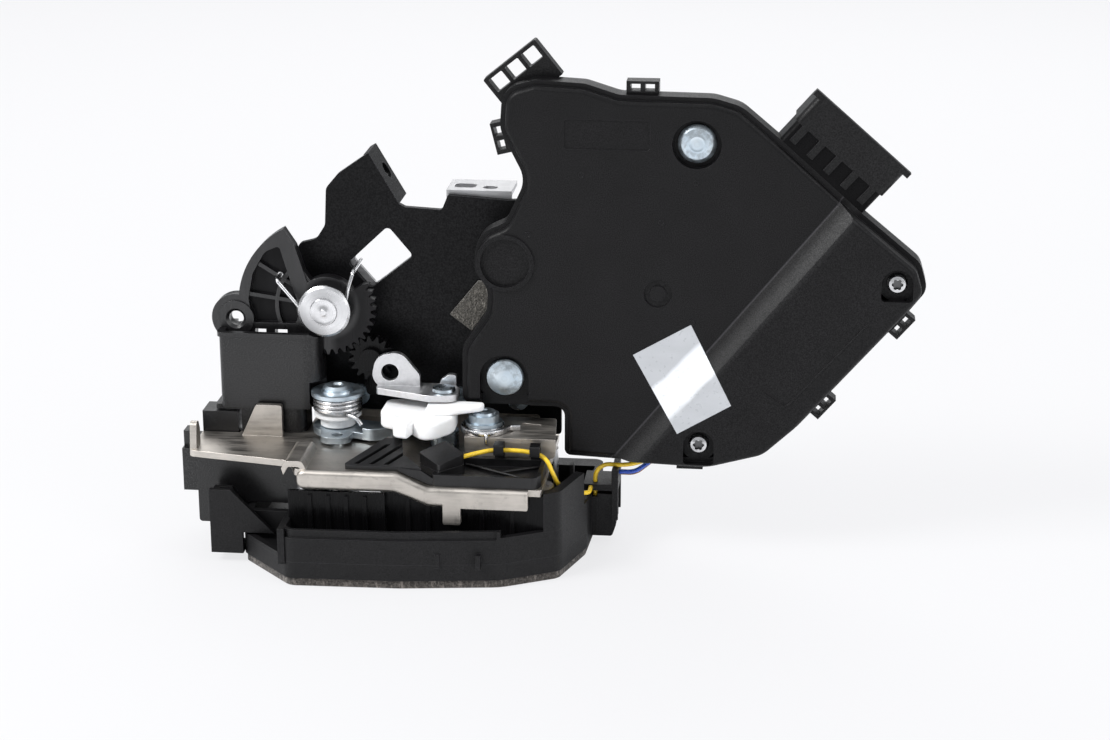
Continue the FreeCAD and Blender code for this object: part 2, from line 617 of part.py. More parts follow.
def latch_plate():
    """Zinc-plated sheet: left part, S-shaped step, lower right part, rolled front flange, tabs."""
    high = PLATE_Z
    low = PLATE_Z - PLATE_DROP
    t = PLATE_T
    bead = prism([(-34.4, high - t), (-33.0, high + 0.6, 1), (-29.6, high + 0.6, 1), (-28.2, high - t),
                  (-27.6, high), (-28.8, high + 2.4, 1.5), (-33.8, high + 2.4, 1.5), (-35.0, high)],
                 "xz", PLATE_FRONT + 1.0, -10.0)
    bed = prism([(-66.0, high - t), (-1.0, high - t, 4), (8.0, low - t, 4), (42.5, low - t), (42.5, low),
                 (8.6, low, 4), (-0.4, high, 4), (-66.0, high)], "xz", PLATE_FRONT, PLATE_BACK)
    front = PLATE_FRONT + ROLL_R - 0.5
    plan = prism([(-66.0, -14.8, 2), (-33.5, -21.0, 1), (-31.0, front, 1), (42.5, front, 1),
                  (42.5, PLATE_BACK - 2), (37.0, PLATE_BACK), (-34.0, PLATE_BACK), (-34.0, 14.0, 2),
                  (-47.0, 8.0, 2), (-54.3, 8.0), (-54.3, 2.6), (-66.0, 2.6)], "xy", 0, 60)
    bed = bed.common(plan)
    flange = prism([(-30.4, high - FLANGE_H, 2.4), (-1.0, high - FLANGE_H, 4), (9.0, low - FLANGE_H, 4),
                    (13.3, low - FLANGE_H), (13.3, low - FLANGE_H - 5.2, 0.6),
                    (18.6, low - FLANGE_H - 5.2, 0.6), (18.6, low - FLANGE_H), (38.5, low - FLANGE_H, 0.6), (38.5, low), (8.6, low, 4),
                    (-0.4, high, 4), (-30.4, high, 2.4)], "xz", PLATE_FRONT - 0.6, PLATE_FRONT + t - 0.6)
    rolled = [e for e in flange.Edges if e.BoundBox.YMax < PLATE_FRONT - 0.5 and e.BoundBox.ZMin > low - 0.5]
    flange = flange.makeFillet(ROLL_R, rolled)
    back = prism([(-34.0, high - t), (37.0, low - t), (37.0, high + BACK_FLANGE_H, 3),
                  (-34.0, high + BACK_FLANGE_H, 3)], "xz", PLATE_BACK - t, PLATE_BACK)
    tab = prism([(-54.0, high - t), (-40.5, high - t), (-40.5, high + 10, 0.8), (-48.5, high + 10, 1.5)],
                "xz", 0.0, t)
    hook = prism([(-14.0, high - t), (-8.5, high - t), (-8.5, high + 5), (-10.0, high + 8, 1.5),
                  (-12.5, high + 8, 1.5)], "yz", -66.0, -66.0 + t)
    plate = join([bed, bead, flange, back, tab, hook])
    cuts = [round_bar("xy", (CLAW_X, CLAW_Y), 3.0, 20, 40), round_bar("xy", (PAWL_X, PAWL_Y), 2.5, 20, 40)]
    cuts.append(round_bar("xy", (STUD_X, STUD_Y), 4.5, 20, 40))
    for x in RIVET_XS:
        cuts.append(round_bar("xz", (x, RIVET_ROW), BRACKET_RIVET_R, PLATE_BACK - 5, PLATE_BACK + 5))
    return plate.cut(cuts)


def side_housing():
    """Stepped black housing left of the claw, open below."""
    top = PLATE_Z - PLATE_T
    main = prism([(-64.5, 6.0, 1), (-49.0, 6.0), (-49.0, 13.0), (-33.5, 13.0), (-33.5, top), (-64.5, top)],
                 "xz", -12.0, 12.0)
    room = prism([(-62.5, 5.0), (-51.0, 5.0), (-51.0, 15.0), (-35.5, 15.0), (-35.5, top - 2), (-62.5, top - 2)],
                 "xz", -10.0, 10.0)
    small = block((-70.0, -8.0, 14.5), (-64.4, 8.0, top))
    step = block((-66.0, 3.0, top), (-54.8, 12.0, top + 8.5))
    body = join([main, small, step])
    lug = block((-69.8, -6.0, top - 0.1), (-66.6, -1.0, top + 5.0))
    body = body.cut(room)
    slots = [block((-68.0, -6.0, 10), (-66.0, 6.0, top - 2))]
    return join([body, lug]).cut(slots)


def guide_shroud():
    """Flattened oval guard, open at the top, round the foot of the outside lever."""
    base = PLATE_Z
    outer = prism([(-60.0, 3.0, 1.5), (-28.6, 3.0, 6.0), (-28.6, 17.0, 6.0), (-60.0, 17.0, 1.5)],
                  "xy", base + 8, SHROUD_TOP)
    inner = prism([(-58.5, 4.5, 1), (-30.1, 4.5, 4.8), (-30.1, 15.5, 4.8), (-58.5, 15.5, 1)],
                  "xy", base + 17.6, SHROUD_TOP + 8)
    foot = prism([(-62.0, 4.0, 1.0), (-34.0, 4.0, 3.0), (-34.0, 14.0), (-62.0, 14.0)], "xy", base, base + 8.6)
    lip = prism([(-60.6, 2.4, 2.0), (-28.0, 2.4, 6.5), (-28.0, 17.6, 6.5), (-60.6, 17.6, 2.0)],
                "xy", SHROUD_TOP - 1.4, SHROUD_TOP)
    body = join([outer, foot, lip]).cut(inner)
    lever_y = (LEVER_Y - 1.0, LEVER_Y + LEVER_T + 0.6)
    cuts = [block((-57.0, 15.0, 54.0), (-33.0, 19.0, 63.0)),
            block((-66.5, 2.0, base - 1), (-54.0, 14.2, base + 7.0)),
            block((-64.0, lever_y[0], 56.0), (-57.0, lever_y[1], 63.0)),
            block((-34.0, lever_y[0], 52.6), (-26.0, lever_y[1], 63.0)),
            round_bar("xz", (LEVER_X, LEVER_Z), CUP_R + 0.5, 0.0, 6.5),
            round_bar("xy", (CLAW_X, CLAW_Y), CAP_R + 0.5, base - 1, LEFT_TOP + 2.0)]
    return body.cut(cuts)


# Bracket


def bracket_frame():
    sheet = prism([(-38.5, 33.0, 2), (-38.0, 86.0, 2), (-32.3, 87.5, 3), (-29.4, 92.0, 3), (-28.8, 103.7, 3),
                   (-25.0, 108.2, 4), TAB_FOLD[0], TAB_FOLD[1], (-4.5, 98.3, 1), (6.8, 97.7, 1),
                   (8.7, 102.4, 0.5), (27.0, 101.2), (60.0, 104.0, 4), (76.0, 134.0, 8), (94.0, 134.0, 8),
                   (95.0, 114.0, 8), (62.0, 62.0, 6), (43.4, 42.0, 3), (43.4, LOW_Z + 0.8, 1),
                   (36.8, LOW_Z + 0.8, 1), (36.8, 33.0, 1)],
                  "xz", BRACKET_Y, BRACKET_Y + BRACKET_T)
    fold = math.atan2(TAB_FOLD[1][1] - TAB_FOLD[0][1], TAB_FOLD[1][0] - TAB_FOLD[0][0])
    length = math.dist(TAB_FOLD[0], TAB_FOLD[1])
    tab = Part.makeBox(length, TAB_FLANGE, BRACKET_T)
    tab = tab.cut(Part.makeCylinder(2.6, 10, V(length * 0.45, TAB_FLANGE * 0.55, -5)))
    tab.rotate(V(0, 0, 0), V(0, 1, 0), -math.degrees(fold))
    tab.translate(V(TAB_FOLD[0][0], BRACKET_Y + BRACKET_T - 0.2, TAB_FOLD[0][1]))
    tab.translate(V(math.sin(fold), 0, -math.cos(fold)) * BRACKET_T)
    body = join([sheet, tab])
    cuts = [prism(WINDOW, "xz", BRACKET_Y - 1, BRACKET_Y + BRACKET_T + 1)]
    cuts.append(round_bar("xz", (LEVER_X, LEVER_Z), LEVER_PIN_R - 0.5, BRACKET_Y - 1, BRACKET_Y + 5))
    cuts.append(round_bar("xz", PINION, PINION_PIN_R - 0.2, BRACKET_Y - 1, BRACKET_Y + 5))
    for place in (RIVET_A, RIVET_B):
        cuts.append(round_bar("xz", place, RIVET_SHANK_R, BRACKET_Y - 1, BRACKET_Y + 5))
    for x in RIVET_XS:
        cuts.append(round_bar("xz", (x, RIVET_ROW), BRACKET_RIVET_R, BRACKET_Y - 1, BRACKET_Y + 5))
    return body.cut(cuts)


def bracket_rivets():
    """Rivets that hold the bracket on the latch plate's back flange."""
    rivets = []
    for x in RIVET_XS:
        place = (x, RIVET_ROW)
        shank = round_bar("xz", place, BRACKET_RIVET_R, BRACKET_Y, PLATE_BACK)
        head = round_bar("xz", place, BRACKET_RIVET_R + 1.4, BRACKET_Y - 1.2, BRACKET_Y)
        tail = round_bar("xz", place, BRACKET_RIVET_R + 1.2, PLATE_BACK, PLATE_BACK + 1.2)
        rivets.append(join([head, shank, tail]))
    return Part.makeCompound(rivets)


def slotted_flange():
    """Zinc angle behind the bracket: a slotted top flange and a small tab in the window."""
    y0 = BRACKET_Y + BRACKET_T
    web = prism([(-25.0, 79.8, 1), (-15.6, 69.0, 1), (4.0, 66.0, 3), (28.0, 96.0, 3), (28.0, 102.8), (8.0, 103.6),
                 (8.0, 90.0, 3), (-9.0, 95.0, 1)], "xz", y0, y0 + ZINC_T)
    window = list(WINDOW)
    window[2] = (WINDOW[2][0] + 1.5, WINDOW[2][1] + 1.2, 1)
    window[3] = (WINDOW[3][0] + 1.5, WINDOW[3][1] + 1.2, 1)
    web = web.cut(prism(window, "xz", y0 - 1, y0 + ZINC_T + 1))
    flange = block((8.0, y0, 102.1), (28.0, y0 + SLOT_FLANGE, 102.1 + ZINC_T))
    slots = []
    for x, y, length, width in ((9.8, y0 + 3.4, 6.6, 5.2), (18.8, y0 + 2.4, 4.4, 3.8)):
        corners = [(x, y, 1.6), (x + length, y, 1.6), (x + length, y + width, 1.6), (x, y + width, 1.6)]
        slots.append(prism(corners, "xy", 95, 110))
    return join([web, flange.cut(slots)])


def foam_patch():
    patch = prism([(9.2, 65.3), (17.8, 75.9), (27.0, 75.0), (27.0, 60.2), (16.6, 59.7)],
                  "xz", BRACKET_Y - 2.0, BRACKET_Y)
    return patch.cut(inner_prism(COVER_OUTLINE, "xz", PART_Y, BRACKET_Y + 1, HOUSE_INSET - 0.2))


# Outside lever with its toothed sector

def outside_lever():
    """Ribbed arc lever: thick rim, thin web, hub with a toothed sector and a cable hole."""
    y0 = LEVER_Y
    y1 = LEVER_Y + LEVER_T
    hub = (LEVER_X, LEVER_Z)
    sweep = [(-52.4, 62.7), (-70.0, 62.7), (-70.0, 100.0), (-40.6, 100.0), (-40.2, 93.4, 0.8), (-36.7, 88.0, 2),
             (-33.0, 76.0, 3), (-24.0, 60.0, 5), (-34.0, 54.0, 3), (-38.0, 52.0, 2), (-50.5, 52.0, 2)]
    solid = round_bar("xz", hub, LEVER_R, y0, y1).common(prism(sweep, "xz", y0, y1))
    solid = solid.fuse(round_bar("xz", CABLE_PLACE, CABLE_BOSS_R, y0, y1))
    pocket = [(-50.4, 63.6, 1), (-37.0, 63.6, 1), (-35.6, 68.5, 1), (-38.5, 77.5, 2), (-41.5, 88.0, 1),
              (-46.0, 86.0, 4), (-50.0, 79.0, 4), (-51.6, 71.0, 2)]
    solid = solid.cut(prism(pocket, "xz", y0 - 1, y1 - LEVER_WEB))
    ribs = []
    for degrees in (172.0, 148.0, 125.0):
        inner = polar(hub, 9.0, degrees)
        outer = polar(hub, 24.5, degrees)
        side = V(outer[1] - inner[1], inner[0] - outer[0], 0).normalize() * 0.6
        ribs.append(prism([(inner[0] + side.x, inner[1] + side.y), (outer[0] + side.x, outer[1] + side.y),
                           (outer[0] - side.x, outer[1] - side.y), (inner[0] - side.x, inner[1] - side.y)],
                          "xz", y0 + 0.6, y1))
    arc = tube("xz", hub, 16.2, 15.0, y0 + 0.6, y1)
    arc = arc.common(prism([hub, (-50, 60), (-50, 85), (-42, 92)], "xz", y0, y1))
    boss = round_bar("xz", CABLE_PLACE, CABLE_BOSS_R - 2.0, y0 - 0.6, y1)
    core = round_bar("xz", hub, 9.5, y0, y1)
    sector = gear(hub, SECTOR_TEETH, "xz", y0, y0 + PINION_T, PINION_DIR, 0, 12)
    sector = sector.fuse(gear(hub, SECTOR_TEETH, "xz", y0, y0 + PINION_T, PINION_DIR, 29, 35))
    keep = prism([hub, (LEVER_X - 14, LEVER_Z - 30), (LEVER_X + 40, LEVER_Z - 30),
                  (LEVER_X + 40, LEVER_Z + 27)], "xz", y0, y1)
    sector = sector.common(keep)
    body = join([solid, arc, boss, core, sector] + ribs)
    cuts = [round_bar("xz", CABLE_PLACE, LEVER_HOLE_R, y0 - 2, y1 + 2)]
    rim = V(CABLE_PLACE[0], y0 - 0.6, CABLE_PLACE[1])
    cuts.append(Part.makeCone(LEVER_HOLE_R + 0.9, LEVER_HOLE_R, 0.9, rim, V(0, 1, 0)))
    cuts.append(round_bar("xz", hub, LEVER_PIN_R + PIN_FIT, y0 - 2, y1 + 2))
    cuts.append(round_bar("xz", SPRING_HOLE, SPRING_HOLE_R, y0 - 2, y1 + 2))
    cuts.append(block((-49.8, y0 - 1, 57.6), (-46.4, y1 + 1, 61.6)))
    cuts.append(block((-43.6, y0 - 1, 57.6), (-39.8, y1 + 1, 61.6)))
    return body.cut(cuts)


def outside_lever_pin():
    hub = (LEVER_X, LEVER_Z)
    shank = round_bar("xz", hub, LEVER_PIN_R, CUP_Y, BRACKET_Y)
    tail = round_bar("xz", hub, LEVER_PIN_R - 0.5, BRACKET_Y, BRACKET_Y + BRACKET_T)
    upset = round_bar("xz", hub, LEVER_PIN_R + 1.0, BRACKET_Y + BRACKET_T, BRACKET_Y + BRACKET_T + 1.5)
    collar = round_bar("xz", hub, LEVER_PIN_R + 3.0, LEVER_Y + LEVER_T + 0.3, BRACKET_Y)
    return join([shank, tail, upset, collar])


def spring_cup():
    """Bright pressed cup with a turned-back rim and a stepped centre, riveted on the lever pin."""
    profile = [(0, CUP_Y - 2.1), (1.1, CUP_Y - 2.1), (1.4, CUP_Y - 1.8), (3.8, CUP_Y - 1.8), (4.3, CUP_Y - 1.3),
               (CUP_R - 0.9, CUP_Y - 1.3), (CUP_R, CUP_Y - 0.7), (CUP_R, CUP_Y), (0, CUP_Y)]
    return turned(profile, "xz", (LEVER_X, LEVER_Z))


def outside_lever_spring():
    """Spring on the lever pin: one leg hooks into the lever, the other behind the zinc angle."""
    hub = (LEVER_X, LEVER_Z)
    wire = LEVER_SPRING_WIRE
    body = coil("xz", hub, LEVER_SPRING_R, wire, CUP_Y + 0.2, 2)
    depth = CUP_Y + 0.2 + wire / 2
    thin = 0.46 * wire
    start = polar(hub, LEVER_SPRING_R - 0.3, 222.0)
    leg_a = rod([(start[0], depth, start[1]), (SPRING_HOLE[0], depth, SPRING_HOLE[1]),
                 (SPRING_HOLE[0], depth + 6.4, SPRING_HOLE[1])], thin)[0]
    start = polar(hub, LEVER_SPRING_R - 0.3, -10.0)
    leg_b = rod([(start[0], depth, start[1]), (-20.2, depth, 75.8), (-18.8, depth + 3.0, 80.8),
                 (-18.8, BRACKET_Y + BRACKET_T, 80.8)], thin)[0]
    return join([body, leg_a, leg_b])


def transfer_pinion():
    y0 = LEVER_Y
    toothed = gear(PINION, PINION_TEETH, "xz", y0, y0 + PINION_T, PINION_DIR + 180 + 180.0 / PINION_TEETH)
    hub = round_bar("xz", PINION, 4.4, y0 + PINION_T, BRACKET_Y - 0.5)
    arm = prism([(PINION[0] - 4.0, PINION[1]), (PINION[0] - 2.6, PINION[1] - 13.5, 1.5),
                 (PINION[0] + 2.6, PINION[1] - 13.5, 1.5), (PINION[0] + 4.0, PINION[1])],
                "xz", y0 + PINION_T + 2.0, y0 + PINION_T + 4.5)
    body = join([toothed, hub, arm])
    return body.cut(round_bar("xz", PINION, PINION_PIN_R + PIN_FIT, y0 - 1, BRACKET_Y + 1))


def transfer_pin():
    shank = round_bar("xz", PINION, PINION_PIN_R, LEVER_Y - 0.8, BRACKET_Y)
    tail = round_bar("xz", PINION, PINION_PIN_R - 0.2, BRACKET_Y, BRACKET_Y + BRACKET_T)
    head = round_bar("xz", PINION, 3.4, LEVER_Y - 2.0, LEVER_Y - 0.4)
    return join([shank, tail, head])


# Levers on the latch plate

def intermediate_lever():
    """Steel lever on the left pin with a curved arm and a drilled forward ear."""
    z0 = PLATE_Z + 1.0
    place = (CLAW_X, CLAW_Y)
    hub = round_bar("xy", place, 7.6, z0, z0 + SHEET_T)
    ear = prism([(CLAW_X - 5.0, CLAW_Y), (CLAW_X - 3.2, CLAW_Y - 13.0, 3.5), (CLAW_X + 5.6, CLAW_Y - 13.0, 3.5),
                 (CLAW_X + 6.0, CLAW_Y)], "xy", z0, z0 + SHEET_T)
    arm = prism([(CLAW_X, CLAW_Y - 5.0), (CLAW_X + 12.0, CLAW_Y - 9.0, 6), (CLAW_X + 21.0, CLAW_Y - 5.0, 4),
                 (CLAW_X + 23.0, CLAW_Y + 2.0, 2), (CLAW_X + 14.0, CLAW_Y + 3.0, 4), (CLAW_X, CLAW_Y + 6.0)],
                "xy", z0, z0 + SHEET_T)
    lip = prism([(CLAW_X + 9.0, CLAW_Y - 8.0), (CLAW_X + 12.0, CLAW_Y - 9.0, 6), (CLAW_X + 20.0, CLAW_Y - 5.5, 4),
                 (CLAW_X + 19.0, CLAW_Y - 4.0, 3), (CLAW_X + 12.0, CLAW_Y - 7.0, 5), (CLAW_X + 9.6, CLAW_Y - 6.2)],
                "xy", z0, z0 + SHEET_T + 1.6)
    body = join([hub, ear, arm, lip])
    return body.cut([round_bar("xy", place, 3.0 + PIN_FIT, z0 - 1, z0 + 5),
                     round_bar("xy", (CLAW_X + 1.6, CLAW_Y - 10.0), 1.7, z0 - 1, z0 + 5)])


def left_bush():
    """Light moulded bush: body, spring seat and spool."""
    z0 = PLATE_Z + 1.0 + SHEET_T + 0.3
    profile = [(3.05, z0), (5.4, z0), (5.4, BUSH_TOP - 0.9), (7.2, BUSH_TOP - 0.9), (7.2, BUSH_TOP),
               (5.4, BUSH_TOP), (5.4, LEFT_TOP - 1.6), (3.05, LEFT_TOP - 1.6)]
    return turned(profile, "xy", (CLAW_X, CLAW_Y))


def lever_spring():
    body = coil("xy", (CLAW_X, CLAW_Y), COIL_R, COIL_WIRE, BUSH_TOP, 3)
    leg = rod([(CLAW_X + 5.4, CLAW_Y - 3.4, BUSH_TOP + 0.8), (CLAW_X + 7.4, CLAW_Y - 8.6, BUSH_TOP + 0.6),
               (CLAW_X + 8.4, CLAW_Y - 12.5, BUSH_TOP - 2.4)], COIL_WIRE / 2)[0]
    return join([body, leg])


def left_cap():
    profile = [(3.0, LEFT_TOP - 1.6), (CAP_R, LEFT_TOP - 1.6), (CAP_R, LEFT_TOP - 0.4), (CAP_R - 0.5, LEFT_TOP - 0.2),
               (4.9, LEFT_TOP - 0.6), (4.6, LEFT_TOP), (3.0, LEFT_TOP)]
    return turned(profile, "xy", (CLAW_X, CLAW_Y))


def lever_stud():
    place = (STUD_X, STUD_Y)
    under = PLATE_Z - PLATE_DROP
    foot = round_bar("xy", place, 4.5, under - PLATE_T, under + 1.0)
    collar = round_bar("xy", place, 4.4, under + 1.0, 33.6)
    shank = round_bar("xy", place, STUD_R, 33.6, 46.2)
    head = turned([(0, 46.2), (3.6, 46.2), (3.4, 47.1), (2.2, 47.5), (0, 47.5)], "xy", place)
    return join([foot, collar, shank, head])


def cable_lever():
    """Steel lever with an upright ear for the inner handle's cable."""
    z0 = 44.0
    arm = prism([(STUD_X - 21.0, 2.4, 1), (STUD_X - 4.0, -3.6, 3), (STUD_X + 4.6, -3.2, 4), (STUD_X + 4.6, 6.4, 4),
                 (STUD_X - 3.0, 8.6, 3), (STUD_X - 21.0, 8.2, 2)], "xy", z0, z0 + SHEET_T)
    ear = prism([(-9.5, z0), (-13.4, 48.2, 4.5), (-11.8, 55.2, 4.5), (-4.2, 56.8, 4.5), (1.6, 49.6, 2.5), (1.6, z0)],
                "xz", 5.0, 5.0 + SHEET_T)
    tab = prism([(6.4, z0), (12.6, z0), (12.6, 49.6, 0.8), (10.2, 49.6, 0.8), (8.0, 48.0, 1)],
                "xz", 6.2, 6.2 + SHEET_T)
    body = join([arm, ear, tab])
    return body.cut([round_bar("xy", (STUD_X, STUD_Y), STUD_R + PIN_FIT, z0 - 1, z0 + 5),
                     round_bar("xz", EAR_HOLE, EAR_HOLE_R, 2, 12)])


def locking_lever():
    """White moulded lever that swings about the stud; its arm reaches over the right pin."""
    z0 = 35.6
    z1 = 41.0
    body = prism([(-9.0, 7.6, 3), (STUD_X + 1.0, 8.6, 5), (STUD_X + 4.4, 2.0, 3), (STUD_X + 4.4, -8.0, 4),
                  (STUD_X - 0.5, -14.6, 2), (STUD_X - 4.5, -15.6, 1), (STUD_X - 9.0, -10.0, 2), (-9.4, -4.6, 3)],
                 "xy", z0, z1)
    arm = prism([(STUD_X - 4.0, -0.4), (23.5, -0.4, 1.2), (23.5, -3.6, 1.2),
                 (STUD_X + 8.0, -5.8), (STUD_X - 4.0, -8.0, 2)], "xy", z1 + 0.6, z1 + 2.6)
    neck = round_bar("xy", (STUD_X, STUD_Y), 4.6, z1 - 0.1, z1 + 2.6)
    web = prism([(STUD_X - 4.0, 3.0, 2), (STUD_X + 3.0, 3.0, 2), (STUD_X + 3.0, -7.0, 2), (STUD_X - 4.0, -7.4, 2)],
                "xy", z1 - 0.1, z1 + 0.7)
    finger = prism([(-5.0, -7.0, 1), (3.0, -8.5, 1), (1.0, -17.0, 1), (-3.4, -15.5, 1)], "xy", z0 + 0.8, z1)
    solid = join([body, arm, neck, web, finger])
    return solid.cut(round_bar("xy", (STUD_X, STUD_Y), STUD_R + PIN_FIT, z0 - 1, 50))


def spring_platform():
    """Raised zinc plate with curved slots and a turned-down front lip."""
    z1 = PLATFORM_Z
    top = prism([(17.0, PLATFORM_FRONT, 1), (44.5, PLATFORM_FRONT, 1), (42.8, 11.3, 1.5), (17.5, 11.3, 2)],
                "xy", z1 - 1.5, z1)
    lip = prism([(17.0, z1 - 6.0, 0.5), (44.5, z1 - 6.0, 1.5), (44.5, z1), (17.0, z1)], "xz",
                PLATFORM_FRONT - 0.4, PLATFORM_FRONT + 1.1)
    leg_r = prism([(PLATFORM_FRONT + 3, LOW_Z), (11.0, LOW_Z), (11.0, z1), (PLATFORM_FRONT + 3, z1)],
                  "yz", 41.0, 42.5)
    leg_b = prism([(19.0, LOW_Z), (36.0, LOW_Z), (36.0, z1), (19.0, z1)], "xz", 9.8, 11.3)
    slots = []
    for x, y, tilt in ((28.0, -3.0, 18.0), (36.0, 4.5, -12.0)):
        slot = prism([(-3.2, -0.9, 0.8), (3.2, -0.9, 0.8), (3.2, 0.9, 0.8), (-3.2, 0.9, 0.8)], "xy", 30, 40)
        slot.rotate(V(0, 0, 0), V(0, 0, 1), tilt)
        slot.translate(V(x, y, 0))
        slots.append(slot)
    slots.append(round_bar("xy", (PAWL_X, PAWL_Y), 2.5, 20, 40))
    return join([top, lip, leg_r, leg_b]).cut(slots)


def spiral_spring():
    """Flat spiral: three strip turns about the right pin and a hooked end."""
    z0 = PLATFORM_Z
    rings = [tube("xy", (PAWL_X, PAWL_Y), r, r - 0.9, z0, z0 + 1.8) for r in (7.2, 5.6, 4.0)]
    link = block((PAWL_X + 2.9, PAWL_Y - 0.6, z0), (PAWL_X + 7.0, PAWL_Y + 0.6, z0 + 1.8))
    hook = block((PAWL_X + 6.8, PAWL_Y - 0.6, z0), (PAWL_X + 11.0, PAWL_Y + 0.6, z0 + 1.8))
    bridge = block((PAWL_X - 0.4, PLATFORM_FRONT - 1.4, z0), (PAWL_X + 3.6, PAWL_Y - 6.4, z0 + 1.2))
    claw_end = block((PAWL_X - 0.4, PLATFORM_FRONT - 1.4, z0 - 2.2),
                     (PAWL_X + 3.6, PLATFORM_FRONT - 0.4, z0 + 1.2))
    inner = tube("xy", (PAWL_X, PAWL_Y), 3.2, 2.5, z0, z0 + 1.8)
    return join(rings + [link, hook, bridge, claw_end, inner])


def pin_washers():
    """Washers of the two pins: a stepped pair on the right, a flat one on the left."""
    lower = tube("xy", (PAWL_X, PAWL_Y), 5.6, 2.5, PLATFORM_Z + 1.8, PLATFORM_Z + 2.9)
    upper = tube("xy", (PAWL_X, PAWL_Y), 4.6, 2.5, PLATFORM_Z + 2.9, RIGHT_TOP)
    left = tube("xy", (CLAW_X, CLAW_Y), 6.4, 3.0, PLATE_Z, PLATE_Z + 0.8)
    return Part.makeCompound([join([lower, upper]), left])


# Switch carrier and harness

def wire_hook(x, shift):
    """Hook over the wire: back wall, roof and a short front finger."""
    base = LOW_Z + 1.0
    roof = LOW_Z + 8.8
    section = [(-11.0, base), (-9.8, base), (-9.8, roof, 0.8), (-14.4, roof, 0.4), (-14.4, roof - 3.2),
               (-13.3, roof - 3.2), (-13.3, roof - 1.0), (-11.0, roof - 1.0)]
    return prism([(p[0] + shift,) + tuple(p[1:]) for p in section], "yz", x, x + 3.0)


def switch_carrier():
    """Open tray on the lower right of the latch plate, with a ribbed wedge and wire hooks."""
    z0 = LOW_Z
    plan = [(10.0, -27.4, 1), (40.5, -27.4, 2), (42.0, -24.0, 2), (42.0, -10.5, 1), (10.0, -10.5, 1)]
    tray = prism(plan, "xy", z0, z0 + 3.6)
    tray = tray.cut(inner_prism(plan, "xy", z0 + 1.2, z0 + 5, CARRIER_WALL))
    tray = tray.cut(prism(SWITCH_CORNERS, "xy", SWITCH_Z, z0 + 5))
    wedge = prism([(-17.0, -26.5, 0.8), (-3.6, -8.8), (-1.8, -8.8), (0.3, -20.1), (6.6, -26.5)],
                  "xy", PLATE_Z, PLATE_Z + 5.3)
    slope = prism([(-27.5, PLATE_Z + 1.0), (-12.5, PLATE_Z + 5.3), (-12.5, PLATE_Z + 9), (-27.5, PLATE_Z + 9)],
                  "yz", -20, 10)
    wedge = wedge.cut(slope)
    grooves = []
    for i in range(3):
        x = -13.6 + i * 4.4
        grooves.append(prism([(x, -25.5), (x + 1.6, -25.5), (x + 9.6, -15.5), (x + 8.0, -15.5)],
                             "xy", PLATE_Z + 1.0, PLATE_Z + 6))
    wedge = wedge.cut(grooves)
    bridge = prism([(0.0, PLATE_Z + 0.1), (9.2, z0 + 0.3), (10.6, z0 + 0.3), (10.6, z0 + 2.0), (6.6, PLATE_Z + 0.6),
                    (0.0, PLATE_Z + 1.2)], "xz", -27.0, -25.6)
    pad = prism(SWITCH_CORNERS, "xy", z0 + 1.0, SWITCH_Z).common(block((9.8, -30, z0), (20, -10, SWITCH_Z)))
    cross_a = rod([(18, -25, z0 + 1.8), (28, -19, z0 + 1.8), (40.4, -12.5, z0 + 1.8)], 0.45)[0]
    cross_b = rod([(18, -12.5, z0 + 1.8), (28, -18, z0 + 1.8), (40.4, -25, z0 + 1.8)], 0.45)[0]
    hooks = [wire_hook(26.5, 0.0), wire_hook(37.4, -0.5)]
    return join([tray, wedge, bridge, pad, cross_a, cross_b] + hooks)


def plunger_bar(radius, near, far):
    """Round bar along the plunger's way, from one distance behind the switch face to another."""
    along = V(math.cos(math.radians(SWITCH_RUN)), math.sin(math.radians(SWITCH_RUN)), 0)
    start = V(PLUNGER_PLACE[0], PLUNGER_PLACE[1], PLATE_Z + 2.2) + along * near
    return Part.makeCylinder(radius, far - near, start, along)


def microswitch():
    """Small switch body with a lid that rises to the back and stands a little over it."""
    front = SWITCH_CORNERS[0][1]
    top = PLATE_Z + 6.0
    body = prism(SWITCH_CORNERS, "xy", SWITCH_Z, top)
    over = prism([(front - 1, PLATE_Z + 2.0), (front + 16.0, top - 0.4), (front + 16.0, top + 3),
                  (front - 1, top + 3)], "yz", 0.0, 25.0)
    groove = prism(SWITCH_CORNERS, "xy", PLATE_Z + 0.2, PLATE_Z + 0.7)
    groove = groove.cut(inner_prism(SWITCH_CORNERS, "xy", PLATE_Z, PLATE_Z + 1, 0.3))
    return body.cut([over, groove, plunger_bar(PLUNGER_R + 0.1, -1.0, 6.0)])


def switch_plunger():
    """Small round plunger with a domed tip."""
    stem = plunger_bar(PLUNGER_R, -0.8, 3.8)
    along = V(math.cos(math.radians(SWITCH_RUN)), math.sin(math.radians(SWITCH_RUN)), 0)
    tip = Part.makeSphere(PLUNGER_R, V(PLUNGER_PLACE[0], PLUNGER_PLACE[1], PLATE_Z + 2.2) - along * 0.8)
    return join([stem, tip])


